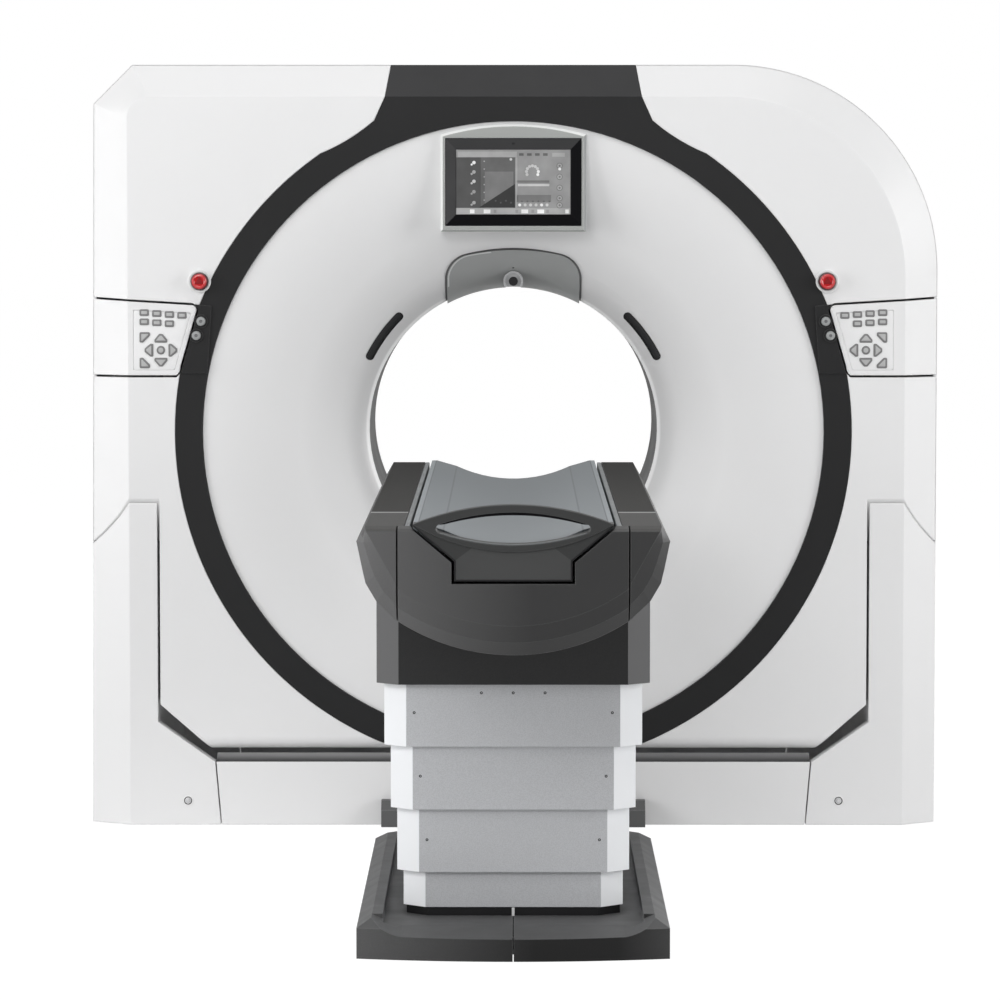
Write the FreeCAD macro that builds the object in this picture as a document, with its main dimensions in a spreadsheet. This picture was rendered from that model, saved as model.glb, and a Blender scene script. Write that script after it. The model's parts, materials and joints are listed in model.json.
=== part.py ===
import FreeCAD, Part
import Sketcher
import math
import os

# A CT scanner: a tilting gantry in a U-shaped stand, and the patient table in front of it.
# Millimetres. X is across, +Y runs from the table into the gantry, +Z is up.
# The origin is on the floor under the middle of the overall box.

SIZES = {
    # where the gantry stands, and the isocentre in it
    "gantry_front": 745.0,
    "gantry_depth": 860.0,
    "iso_height": 945.5,
    "floor_gap": 3.0,

    # the bore, and the room from it out to the ring's edge that the rotor needs
    "bore_radius": 350.0,
    "ring_room": 458.0,
    "ring_wide": 66.0,

    # the gantry's outline: the covers beyond the ring, and their bevel in front view
    "side_margin": 207.0,
    "top_margin": 68.5,
    "left_lean": 12.0,
    "corner_cut": 93.0,
    "outer_round": 490.0,
    "left_bevel": 96.0,
    "right_bevel": 81.0,
    "top_bevel": 76.0,
    "face_corner": 52.0,
    "face_round": 430.0,
    "bevel_depth": 55.0,
    "shell_wall": 8.0,

    # the tilting body's lower edge between the pillars
    "belly_margin": 38.0,
    "belly_low_margin": 17.5,
    "belly_knee_rise": 107.0,
    "belly_toe_inset": 122.0,
    "belly_round": 30.0,
    "belly_wall_top_drop": 175.5,
    "ear_margin": 28.0,
    "ear_gap": 3.0,

    # saddle and funnel
    "saddle_top_half": 292.0,
    "saddle_crease_half": 305.0,
    "saddle_neck_half": 331.0,
    "saddle_neck_fall": 57.0,
    "saddle_flare_half": 459.0,
    "saddle_bow": 6.0,
    "funnel_start": 6.0,
    "funnel_depth": 215.0,
    "lip_depth": 103.0,
    "lip_wide": 65.0,
    "dish_bow": 22.6,
    "lip_bow": 13.3,
    "funnel_wall": 6.0,
    "window_wall": 3.0,
    "rear_lip_wide": 75.0,
    "rear_dish_wide": 135.0,
    "rear_dish_depth": 82.5,

    # monitor, from its top down, and the panel over the bore
    "monitor_half": 173.0,
    "monitor_top_gap": 7.5,
    "monitor_crown": 24.0,
    "monitor_tall": 255.0,
    "bezel_side_inset": 11.0,
    "bezel_top_inset": 9.0,
    "bezel_low_inset": 14.0,
    "screen_side_inset": 26.0,
    "screen_end_inset": 27.0,
    "monitor_proud": 8.0,
    "monitor_bevel": 5.0,
    "bezel_deep": 12.0,
    "bezel_rise": 12.0,
    "bezel_lip": 1.0,
    "screen_recess": 1.0,
    "screen_thick": 4.0,
    "panel_half": 160.0,
    "panel_tall": 85.5,
    "panel_crown": 12.0,
    "panel_crown_half": 110.0,
    "panel_shoulder_fall": 54.5,
    "panel_bow": 12.0,
    "panel_proud": 7.0,
    "lens_rise": 9.5,
    "lens_radius": 11.0,
    "lens_collar": 24.0,
    "lens_deep": 90.0,
    "lens_rim": 4.0,
    "lens_sink": 4.0,
    "slot_margin": 39.0,
    "slot_from": 27.2,
    "slot_to": 45.0,
    "slot_width": 20.0,
    "slot_round": 0.9,
    "slot_proud": 1.2,

    # the hand controls on each side of the ring
    "pod_nose_top_rise": 292.5,
    "pod_nose_low_rise": 157.5,
    "pod_nose_margin": 2.0,
    "pod_corner_rise": 12.0,
    "pod_top_slope": 18.0,
    "pod_corner_fall": 20.0,
    "pod_gap": 5.0,
    "pod_round": 10.0,
    "pod_corner_bow": 3.0,
    "surround_wide": 36.0,
    "surround_proud": 4.0,
    "key_wide": 23.0,
    "key_tall": 16.0,
    "key_pitch": 30.0,
    "key_row_inset": 94.7,
    "key_row_fall": 8.0,
    "key_row_drop": 22.0,
    "key_row_slope": 0.075,
    "key_proud": 2.5,
    "pad_inset": 46.0,
    "pad_centre_lift": 40.0,
    "pad_reach": 28.0,
    "pad_key": 11.0,
    "mat_thick": 2.0,
    "mat_margin": 14.0,
    "estop_margin": 22.0,
    "estop_rise": 69.0,
    "estop_radius": 21.0,
    "estop_collar": 27.0,
    "estop_stem": 10.0,
    "estop_stand": 8.0,
    "estop_head": 12.0,
    "estop_travel": 6.0,
    "estop_crown": 3.0,
    "knob_inset": 17.4,
    "knob_upper_fall": 26.0,
    "knob_pitch": 34.0,
    "knob_radius": 11.0,
    "knob_collar": 16.0,
    "knob_stand": 3.0,
    "knob_proud": 5.0,
    "fit_gap": 0.4,

    # the stand: pillars, skirts, frame
    "pillar_gap": 6.0,
    "pillar_knee_fall": 42.0,
    "skirt_toe_inset": 3.0,
    "skirt_fall": 31.0,
    "skirt_thick": 40.0,
    "sill_rise": 17.0,
    "sill_ledge": 15.0,
    "sill_bow": 3.0,
    "seam_inset": 7.0,
    "seam_lean": 13.0,
    "seam_gap": 3.0,
    "pillar_wall": 8.0,
    "beam_tall": 40.0,
    "beam_wide": 110.0,
    "beam_inset": 70.0,
    "foot_tall": 12.0,
    "foot_radius": 40.0,
    "foot_inset": 50.0,
    "upright_inset": 20.0,
    "upright_margin": 15.0,
    "upright_half": 170.0,
    "anchor_inset": 130.0,
    "anchor_bore": 18.0,
    "tab_place": 400.0,
    "tab_half": 30.0,
    "trunnion_radius": 60.0,
    "trunnion_gap": 0.3,
    "upright_gap": 6.0,

    # what turns inside the gantry
    "frame_margin": 3.0,
    "frame_plate": 40.0,
    "stator_wide": 28.0,
    "bearing_inset": 35.0,
    "bearing_wide": 80.0,
    "bearing_deep": 44.0,
    "drum_room": 42.0,
    "drum_plate": 24.0,
    "tube_radius": 95.0,
    "tube_long": 120.0,
    "tube_inset": 45.0,
    "detector_thick": 90.0,
    "detector_deep": 90.0,
    "detector_half_angle": 27.0,
    "slip_inset": 55.0,
    "slip_wide": 45.0,
    "slip_deep": 70.0,
    "slip_grooves": 7.0,
    "slip_groove": 6.0,
    "brush_half": 90.0,
    "collimator_half": 40.0,
    "rotor_box_room": 48.0,
    "rotor_box_inset": 55.0,
    "rotor_box_half": 120.0,
    "drive_gap": 2.0,
    "drum_rim": 60.0,
    "arm_half": 90.0,
    "frame_lug_half": 260.0,

    # the table: lengths along Y
    "table_near": -1605.0,
    "table_far": 395.0,
    "pedestal_front": -955.0,
    "pedestal_deep": 900.0,
    "base_front": -1082.0,
    "base_bulge": 36.0,
    "base_far": 192.0,
    "cap_deep": 45.0,
    "cap_band_deep": 15.0,
    "cap_band_share": 0.55,
    "cap_face_half": 272.0,
    "cap_face_drop": 7.0,
    "cap_low_half": 212.0,
    "cap_low_drop": 115.0,
    "cap_keel_drop": 183.0,
    "far_thick": 6.0,

    # the table's upper body in cross-section
    "table_top": 897.0,
    "edge_half": 276.0,
    "inner_half": 203.0,
    "waist_half": 292.0,
    "waist_drop": 28.4,
    "notch_half": 281.0,
    "notch_drop": 81.0,
    "flank_half": 275.0,
    "flank_drop": 107.0,
    "haunch_half": 255.0,
    "haunch_drop": 141.0,
    "hip_half": 214.0,
    "hip_drop": 179.0,
    "keel_drop": 242.0,
    "under_wall": 6.0,
    "cap_seam": 0.6,
    "end_seam": 3.0,

    # the cradle and its handle
    "cradle_half": 187.0,
    "cradle_over": 4.0,
    "cradle_lip_half": 130.0,
    "cradle_edge_tall": 13.0,
    "cradle_trough": 29.0,
    "cradle_floor": 13.0,
    "cradle_near": -1540.0,
    "handle_half": 186.0,
    "handle_over": 2.0,
    "handle_rise": 36.0,
    "handle_fall": 51.0,
    "grip_half": 137.5,
    "grip_top_wall": 14.0,
    "grip_low_wall": 12.0,
    "grip_end": 8.0,
    "grip_end_bow": 6.0,
    "tongue_half": 109.5,
    "tongue_knee_fall": 69.0,
    "tongue_fall": 106.0,
    "tongue_wing_fall": 4.0,
    "tongue_set_back": 5.0,
    "eye_deep": 28.0,
    "cradle_rim": 12.0,
    "notch_gap": 5.0,

    # the lifting pedestal: nested covers, widest at the top
    "cover_half": 260.0,
    "cover_step": 12.5,
    "cover_chamfer_x": 45.0,
    "cover_chamfer_y": 38.0,
    "cover_wall": 3.0,
    "cover_tall": 170.0,
    "cover_1_bottom": 405.0,
    "cover_2_bottom": 276.0,
    "cover_3_bottom": 147.0,
    "cover_4_top": 250.0,
    "plinth_inset": 6.0,
    "plinth_tall": 18.0,
    "skirt_half": 275.0,
    "skirt_bottom": 532.0,

    # the table base
    "base_half": 311.0,
    "base_side": 61.0,
    "ridge_half": 283.0,
    "ridge_height": 78.0,
    "deck_height": 56.0,
    "scoop_flat_half": 222.0,
    "scoop_lip": 41.0,
    "scoop_bow_front": 9.0,
    "scoop_bow_back": 2.0,
    "base_corner": 60.0,
    "plate_thick": 12.0,
    "plate_half": 262.0,
    "ramp_start": 54.0,
    "base_wall": 6.0,
    "base_seam": 2.0,

    # the table's structure
    "frame_half": 182.0,
    "frame_drop": 185.0,
    "frame_rise": 78.0,
    "frame_wall": 8.0,
    "frame_inset": 30.0,
    "rig_count": 5.0,
    "rig_start": 60.0,
    "rig_pitch": 420.0,
    "rig_half": 40.0,
    "rail_half": 150.0,
    "rail_wide": 26.0,
    "arm_span": 740.0,
    "arm_rise": 600.0,
    "arm_pivot_low": 68.0,
    "arm_pivot_back": 85.0,
    "pin_radius": 10.0,
    "pin_gap": 0.3,
    "lug_thick": 12.0,
    "tie_place": 0.2,
    "tie_radius": 14.0,
    "arm_wide": 44.0,
    "arm_thick": 16.0,
    "arm_outer_half": 150.0,
    "arm_inner_half": 124.0,

    # the docking block on the gantry's front and the cable duct to it
    "dock_half": 316.0,
    "dock_low": 44.0,
    "dock_high": 65.0,
    "dock_deep": 45.0,
    "duct_half": 120.0,
    "duct_tall": 36.0,
}

doc = FreeCAD.newDocument("ct_scanner")
sheet = doc.addObject("Spreadsheet::Sheet", "sizes")
for row, (name, number) in enumerate(SIZES.items(), start=1):
    sheet.set(f"A{row}", name)
    sheet.set(f"B{row}", str(number))
    sheet.setAlias(f"B{row}", name)
doc.recompute()


class Size:
    """A length or angle that knows its number and the sheet formula behind it."""

    def __init__(self, number, formula):
        self.number = float(number)
        self.formula = formula

    def __add__(self, other):
        other = as_size(other)
        return Size(self.number + other.number, f"({self.formula} + {other.formula})")

    def __radd__(self, other):
        return as_size(other) + self

    def __sub__(self, other):
        other = as_size(other)
        return Size(self.number - other.number, f"({self.formula} - {other.formula})")

    def __rsub__(self, other):
        return as_size(other) - self

    def __mul__(self, other):
        other = as_size(other)
        return Size(self.number * other.number, f"({self.formula} * {other.formula})")

    def __rmul__(self, other):
        return as_size(other) * self

    def __truediv__(self, other):
        other = as_size(other)
        return Size(self.number / other.number, f"({self.formula} / {other.formula})")

    def __neg__(self):
        return Size(-self.number, f"(0 - {self.formula})")


def as_size(value):
    if isinstance(value, Size):
        return value
    return Size(value, f"({value!r})")


def root(value):
    return Size(math.sqrt(value.number), f"sqrt({value.formula})")


def sine(angle):
    return Size(math.sin(math.radians(angle.number)), f"sin({angle.formula} * 1 deg)")


def cosine(angle):
    return Size(math.cos(math.radians(angle.number)), f"cos({angle.formula} * 1 deg)")


class Sheet:
    """The named sizes, each as a Size that points to its cell."""

    def __getattr__(self, name):
        return Size(SIZES[name], f"sizes.{name}")


s = Sheet()


def bind(item, prop, value):
    """Drive a property by the formula of a size."""
    item.setExpression(prop, as_size(value).formula)


class Around:
    """Between two corners of an outline: the edge is an arc about this centre."""

    def __init__(self, u, v, clockwise=False):
        self.u = as_size(u)
        self.v = as_size(v)
        self.clockwise = clockwise


class Bow:
    """Between two corners of an outline: an arc that swells by this much, to the right of the way."""

    def __init__(self, swell):
        self.swell = as_size(swell)


class Disc:
    """A full circle in a sketch."""

    def __init__(self, u, v, radius):
        self.u = as_size(u)
        self.v = as_size(v)
        self.radius = as_size(radius)


def box(u_low, v_low, u_high, v_high):
    return [(u_low, v_low), (u_high, v_low), (u_high, v_high), (u_low, v_high)]


def mirrored(loop, side):
    """The same outline for side +1, or mirrored in u for side -1."""
    turned = []
    for item in loop:
        if isinstance(item, Around):
            turned.append(Around(side * item.u, item.v, item.clockwise != (side < 0)))
        elif isinstance(item, Bow):
            turned.append(Bow(side * item.swell))
        elif isinstance(item, Disc):
            turned.append(Disc(side * item.u, item.v, item.radius))
        else:
            turned.append((side * item[0], item[1]))
    return turned


def backwards(loop):
    """The same open outline from its end to its start."""
    turned = []
    for item in reversed(loop):
        if isinstance(item, Around):
            turned.append(Around(item.u, item.v, not item.clockwise))
        elif isinstance(item, Bow):
            turned.append(Bow(-item.swell))
        else:
            turned.append(item)
    return turned


def fix_point(profile, geometry, end, u, v):
    across = profile.addConstraint(Sketcher.Constraint("DistanceX", geometry, end, u.number))
    bind(profile, f"Constraints[{across}]", u)
    upward = profile.addConstraint(Sketcher.Constraint("DistanceY", geometry, end, v.number))
    bind(profile, f"Constraints[{upward}]", v)


def add_disc(profile, disc):
    centre = FreeCAD.Vector(disc.u.number, disc.v.number, 0)
    circle = Part.Circle(centre, FreeCAD.Vector(0, 0, 1), disc.radius.number)
    index = profile.addGeometry(circle)
    fix_point(profile, index, 3, disc.u, disc.v)
    radius = profile.addConstraint(Sketcher.Constraint("Radius", index, disc.radius.number))
    bind(profile, f"Constraints[{radius}]", disc.radius)


def add_arc(profile, start, end, around):
    """An arc edge from start to end; returns its index and which of its ends is the start."""
    centre = FreeCAD.Vector(around.u.number, around.v.number, 0)
    first, last = (end, start) if around.clockwise else (start, end)
    first_turn = math.atan2(first[1].number - centre.y, first[0].number - centre.x)
    last_turn = math.atan2(last[1].number - centre.y, last[0].number - centre.x)
    if last_turn <= first_turn:
        last_turn += 2 * math.pi
    reach = math.hypot(start[0].number - centre.x, start[1].number - centre.y)
    circle = Part.Circle(centre, FreeCAD.Vector(0, 0, 1), reach)
    index = profile.addGeometry(Part.ArcOfCircle(circle, first_turn, last_turn))
    return index, (2, 1) if around.clockwise else (1, 2)


def fix_arc_centre(profile, index, start, end, around):
    """One coordinate of the centre, the one that the chord leaves free."""
    wide = abs(end[0].number - start[0].number)
    tall = abs(end[1].number - start[1].number)
    kind, value = ("DistanceY", around.v) if wide > tall else ("DistanceX", around.u)
    lock = profile.addConstraint(Sketcher.Constraint(kind, index, 3, value.number))
    bind(profile, f"Constraints[{lock}]", value)


def bow_centre(start, end, swell):
    """Where the centre of a swelled edge lies, for the sketch's first shape."""
    run = end[0].number - start[0].number
    rise = end[1].number - start[1].number
    chord = math.hypot(run, rise)
    away = (chord * chord / 4 - swell * swell) / (2 * swell * chord)
    middle_u = (start[0].number + end[0].number) / 2
    middle_v = (start[1].number + end[1].number) / 2
    return Around(middle_u - rise * away, middle_v + run * away, swell < 0)


def bow_radius(start, end, swell):
    run = end[0] - start[0]
    rise = end[1] - start[1]
    depth = swell if swell.number > 0 else -swell
    return (run * run + rise * rise) / (8 * depth) + depth / 2


def add_loop(profile, loop):
    corners = []
    arcs = {}
    for item in loop:
        if isinstance(item, (Around, Bow)):
            arcs[len(corners) - 1] = item
        else:
            corners.append((as_size(item[0]), as_size(item[1])))
    edges = []
    for number, start in enumerate(corners):
        end = corners[(number + 1) % len(corners)]
        if number in arcs:
            shape = arcs[number]
            if isinstance(shape, Bow):
                shape = bow_centre(start, end, shape.swell.number)
            edges.append(add_arc(profile, start, end, shape))
        else:
            line = Part.LineSegment(
                FreeCAD.Vector(start[0].number, start[1].number, 0),
                FreeCAD.Vector(end[0].number, end[1].number, 0),
            )
            edges.append((profile.addGeometry(line), (1, 2)))
    for number, (index, ends) in enumerate(edges):
        following, following_ends = edges[(number + 1) % len(edges)]
        profile.addConstraint(
            Sketcher.Constraint("Coincident", index, ends[1], following, following_ends[0])
        )
        fix_point(profile, index, ends[0], *corners[number])
    for number, shape in arcs.items():
        start = corners[number]
        end = corners[(number + 1) % len(corners)]
        if isinstance(shape, Bow):
            radius = bow_radius(start, end, shape.swell)
            lock = profile.addConstraint(
                Sketcher.Constraint("Radius", edges[number][0], radius.number)
            )
            bind(profile, f"Constraints[{lock}]", radius)
        else:
            fix_arc_centre(profile, edges[number][0], start, end, shape)


def sketch(body, plane, loops, at):
    """A sketch on one of the body's origin planes, moved along the plane's normal."""
    profile = body.newObject("Sketcher::SketchObject", f"{body.Label}_profile")
    support = [f for f in body.Origin.OriginFeatures if f.Role == f"{plane}_Plane"][0]
    profile.AttachmentSupport = (support, "")
    profile.MapMode = "FlatFace"
    bind(profile, "AttachmentOffset.Base.z", at)
    for loop in loops:
        if isinstance(loop, Disc):
            add_disc(profile, loop)
        else:
            add_loop(profile, loop)
    return profile


def sub_part(label, origin=(0, 0, 0)):
    """A new body; origin places its own frame."""
    body = doc.addObject("PartDesign::Body", label)
    body.Label = label
    for axis, value in zip("xyz", origin):
        bind(body, f"Placement.Base.{axis}", value)
    return body


def pad(body, plane, loops, low, high):
    """Material between two levels along the plane's axis. The XZ plane looks towards -Y."""
    at = -high if plane == "XZ" else low
    profile = sketch(body, plane, loops, as_size(at))
    feature = body.newObject("PartDesign::Pad", f"{body.Label}_pad")
    feature.Profile = profile
    bind(feature, "Length", as_size(high) - low)
    return feature


def cut(body, plane, loops, low, high):
    """The same as pad, taken away."""
    at = -low if plane == "XZ" else high
    profile = sketch(body, plane, loops, as_size(at))
    feature = body.newObject("PartDesign::Pocket", f"{body.Label}_cut")
    feature.Profile = profile
    bind(feature, "Length", as_size(high) - low)
    return feature


def turn(body, plane, axis, loops, feature_type="PartDesign::Revolution"):
    """A full turn of a profile about the sketch's H_Axis or V_Axis."""
    profile = sketch(body, plane, loops, as_size(0))
    feature = body.newObject(feature_type, f"{body.Label}_turn")
    feature.Profile = profile
    feature.ReferenceAxis = (profile, [axis])
    feature.Angle = 360
    return feature


def turn_about_bore(body, loop, feature_type="PartDesign::Revolution"):
    """A full turn about the bore's axis of a side profile that gives depth and radius."""
    raised = []
    for item in loop:
        raised.append(item if isinstance(item, Bow) else (item[0], iso + item[1]))
    profile = sketch(body, "YZ", [raised], as_size(0))
    start = FreeCAD.Vector(front.number, iso.number, 0)
    end = FreeCAD.Vector(rear.number, iso.number, 0)
    line = profile.addGeometry(Part.LineSegment(start, end), True)
    fix_point(profile, line, 1, front, iso)
    fix_point(profile, line, 2, rear, iso)
    feature = body.newObject(feature_type, f"{body.Label}_turn")
    feature.Profile = profile
    feature.ReferenceAxis = (profile, ["Axis0"])
    feature.Angle = 360
    return feature


def loft(body, plane, sections, feature_type="PartDesign::AdditiveLoft"):
    """A ruled loft through (loop, level) pairs with as many edges each."""
    sign = -1 if plane == "XZ" else 1
    profiles = [sketch(body, plane, [loop], sign * as_size(at)) for loop, at in sections]
    feature = body.newObject(feature_type, f"{body.Label}_loft")
    feature.Profile = profiles[0]
    feature.Sections = profiles[1:]
    feature.Ruled = True
    return feature


def keep_inside(body, loop, low, high, reach=2600.0):
    """Cut away everything in front view that lies outside an outline."""
    return cut(body, "XZ", [box(-reach, -reach, reach, reach), loop], low, high)


# ---------------------------------------------------------------- the gantry's common outlines

front = s.gantry_front
rear = s.gantry_front + s.gantry_depth
bevel_back = front + s.bevel_depth
rear_bevel = rear - s.bevel_depth
tilt_axis = front + s.gantry_depth / 2
iso = s.iso_height

# the ring round the bore, and the covers beyond it
ring_outer = s.bore_radius + s.ring_room
ring_inner = ring_outer - s.ring_wide
outer_half = ring_outer + s.side_margin
outer_top = iso + ring_outer + s.top_margin
face_left = outer_half - s.left_bevel
face_right = outer_half - s.right_bevel
face_top = outer_top - s.top_bevel
saddle_neck = face_top - s.saddle_neck_fall
belly_half = ring_outer + s.belly_margin
belly_toe = belly_half - s.belly_toe_inset
belly_bottom = iso - ring_inner - s.belly_low_margin
belly_knee = belly_bottom + s.belly_knee_rise
belly_wall_top = iso - s.belly_wall_top_drop
ear_radius = s.gantry_depth / 2 + s.ear_margin

# the funnel's lip, and what lies on it
dish_radius = s.bore_radius + s.lip_wide
dish_depth = s.funnel_depth - s.lip_depth
rear_dish_radius = s.bore_radius + s.rear_lip_wide
rear_mouth = rear_dish_radius + s.rear_dish_wide
panel_top = iso + s.bore_radius + s.panel_tall
panel_crown = panel_top - s.panel_crown
panel_shoulder = panel_crown - s.panel_shoulder_fall
lens_height = iso + s.bore_radius + s.lens_rise
slot_radius = s.bore_radius + s.slot_margin

# the monitor: housing, bezel, screen
monitor_top = iso + ring_inner - s.monitor_top_gap
monitor_side_top = monitor_top - s.monitor_crown
monitor_bottom = monitor_top - s.monitor_tall
bezel_half = s.monitor_half - s.bezel_side_inset
bezel_top = monitor_side_top - s.bezel_top_inset
bezel_bottom = monitor_bottom + s.bezel_low_inset
screen_half = bezel_half - s.screen_side_inset
screen_top = bezel_top - s.screen_end_inset
screen_bottom = bezel_bottom + s.screen_end_inset


def ring_edge(radius, height):
    """Half the chord of a circle about the isocentre at a height."""
    drop = height - iso
    return root(radius * radius - drop * drop)


# the pods, whose noses follow the ring, and the controls beside them
pod_nose_top = iso + s.pod_nose_top_rise
pod_nose_low = iso + s.pod_nose_low_rise
pod_nose_top_half = ring_edge(ring_outer + s.pod_nose_margin, pod_nose_top)
pod_nose_low_half = ring_edge(ring_outer + s.pod_nose_margin, pod_nose_low)
pod_top_inner = pod_nose_top + s.pod_corner_rise
pod_top_outer = pod_top_inner + s.pod_top_slope
pod_bottom = pod_nose_low - s.pod_corner_fall
key_row_half = pod_nose_top_half + s.key_row_inset
key_row_top = pod_nose_top - s.key_row_fall
pad_centre_half = pod_nose_low_half + s.pad_inset
pad_centre = pod_nose_low + s.pad_centre_lift
estop_height = pod_nose_top + s.estop_rise
estop_half = ring_edge(ring_outer + s.estop_margin, estop_height)
knob_upper = pod_nose_top - s.knob_upper_fall
knob_lower = knob_upper - s.knob_pitch

# the legs beside the tilting body, and the uprights inside their covers
pillar_half = belly_half + s.pillar_gap
pillar_knee = belly_knee - s.pillar_knee_fall
skirt_top = belly_bottom - s.skirt_fall
skirt_toe = belly_toe - s.skirt_toe_inset
seam_top_half = skirt_toe - s.seam_inset
seam_low_half = seam_top_half - s.seam_lean
upright_inner = pillar_half + s.pillar_wall + s.upright_inset
upright_outer = outer_half - s.left_lean - s.pillar_wall - s.upright_margin
anchor_half = upright_outer - s.beam_wide / 2

# what turns, from the ring's inside down to the slip ring
frame_outer = ring_inner + s.frame_margin
drum_outer = frame_outer - s.stator_wide - s.drive_gap
drum_inner = s.bore_radius + s.drum_room
bearing_outer = drum_outer - s.bearing_inset
bearing_inner = bearing_outer - s.bearing_wide
slip_outer = bearing_inner - s.slip_inset
slip_inner = slip_outer - s.slip_wide
tube_centre = drum_outer - s.tube_inset - s.tube_radius
rotor_box_inner = drum_inner + s.rotor_box_room
rotor_box_outer = drum_outer - s.rotor_box_inset


def outer_outline(inset=0):
    """The gantry's largest outline: chamfered top left, widely rounded top right."""
    left = outer_half - inset
    right = outer_half - inset
    top = outer_top - inset
    lean_left = left - s.left_lean
    return [
        (-left, 0),
        (-lean_left, top - s.corner_cut),
        (-(lean_left - s.corner_cut), top),
        (right - s.outer_round + inset, top),
        Around(right - s.outer_round + inset, top - s.outer_round + inset, clockwise=True),
        (right, top - s.outer_round + inset),
        (right, 0),
    ]


def face_outline():
    """The flat face inside the bevel."""
    left_centre = face_left - s.face_corner
    right_centre = face_right - s.face_round
    return [
        (-face_left, 0),
        (-face_left, face_top - s.face_corner),
        Around(-left_centre, face_top - s.face_corner, clockwise=True),
        (-left_centre, face_top),
        (right_centre, face_top),
        Around(right_centre, face_top - s.face_round, clockwise=True),
        (face_right, face_top - s.face_round),
        (face_right, 0),
    ]


def front_slab(body):
    """The bevelled front of the whole gantry, from which each front piece is cut."""
    return loft(body, "XZ", [(face_outline(), front), (outer_outline(), bevel_back)])


def rear_slab(body):
    return loft(body, "XZ", [(outer_outline(), rear_bevel), (face_outline(), rear)])


def round_belly(body):
    """Round the lower front and rear edges of the tilting body."""
    r = s.belly_round
    low = belly_bottom
    reach = outer_half
    for edge, way in ((front, 1), (rear, -1)):
        corner = [
            (edge, low),
            (edge + way * r, low),
            Around(edge + way * r, low + r, clockwise=way > 0),
            (edge, low + r),
        ]
        cut(body, "YZ", [corner], -reach, reach)


def below_ears(body, x_low, x_high, gap=0):
    """Take away what lies under the round edge of the tilting body's ears."""
    reach = ear_radius + gap
    under = [
        (tilt_axis - reach, iso),
        Around(tilt_axis, iso),
        (tilt_axis + reach, iso),
        (tilt_axis + reach, -s.foot_radius),
        (tilt_axis - reach, -s.foot_radius),
    ]
    cut(body, "YZ", [under], x_low, x_high)


def above_pillar(body, x_low, x_high):
    """Take away what lies over the pillar's hollow saddle."""
    reach = ear_radius + s.ear_gap
    over = [
        (tilt_axis - reach, iso),
        Around(tilt_axis, iso),
        (tilt_axis + reach, iso),
        (tilt_axis + reach, outer_top * 2),
        (tilt_axis - reach, outer_top * 2),
    ]
    cut(body, "YZ", [over], x_low, x_high)


def saddle_side(gap=0):
    """The right edge of the black saddle, from over the top down to the ring's outer circle."""
    flare_half = s.saddle_flare_half + gap
    radius = ring_outer + gap
    flare = iso + root(radius * radius - flare_half * flare_half)
    return [
        (s.saddle_top_half + gap, outer_top + s.bevel_depth),
        (s.saddle_top_half + gap, outer_top),
        (s.saddle_crease_half + gap, face_top),
        (s.saddle_neck_half + gap, saddle_neck),
        Bow(s.saddle_bow),
        (flare_half, flare),
    ]


def belly_corner(side, grow=0):
    """Lower outside corner of the tilting body between the pillars, inside to outside."""
    return [
        (side * (belly_toe + grow), belly_bottom),
        (side * (belly_half + grow), belly_knee),
    ]


def pod_outline(gap=0):
    """Right-hand pod, a tab that reaches over the ring."""
    out = outer_half + s.bevel_depth
    return [
        (out, pod_top_outer + gap),
        (pod_nose_top_half + s.pod_round, pod_top_inner + gap),
        Bow(s.pod_corner_bow),
        (pod_nose_top_half - gap, pod_nose_top),
        (pod_nose_low_half - gap, pod_nose_low),
        Bow(s.pod_corner_bow),
        (pod_nose_low_half + s.pod_round, pod_bottom - gap),
        (out, pod_bottom - gap),
    ]


# ---------------------------------------------------------------- gantry covers

def front_cover(label, side, upper):
    """White cover beside the ring, above or below the pod; the upper one seats the stop button."""
    body = sub_part(label)
    front_slab(body)
    gap = s.fit_gap
    radius = ring_outer + gap
    far = outer_half + s.bevel_depth
    outline = [
        (ring_edge(radius, belly_bottom), belly_bottom),
        *belly_corner(1),
        (belly_half, belly_wall_top - s.bevel_depth * 2),
        (far, belly_wall_top - s.bevel_depth * 2),
        (far, outer_top + s.bevel_depth),
        *saddle_side(gap),
        Around(0, iso, clockwise=True),
    ]
    keep_inside(body, mirrored(outline, side), front, bevel_back)
    ear_low, ear_high = (belly_half, far) if side > 0 else (-far, -belly_half)
    below_ears(body, ear_low, ear_high)
    cut(body, "XZ", [mirrored(pod_outline(s.pod_gap), side)], front, bevel_back)
    middle = (pod_nose_top + pod_nose_low) / 2
    other = box(-far, -far, far, middle) if upper else box(-far, middle, far, 2 * far)
    cut(body, "XZ", [other], front, bevel_back)
    if upper:
        place = (side * estop_half, estop_height)
        collar = [Disc(*place, s.estop_collar), Disc(*place, s.estop_stem + s.fit_gap)]
        pad(body, "XZ", collar, front - s.estop_stand, front)
        cut(body, "XZ", [collar[1]], front, front + s.estop_collar)
    else:
        round_belly(body)
    return body


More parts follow.
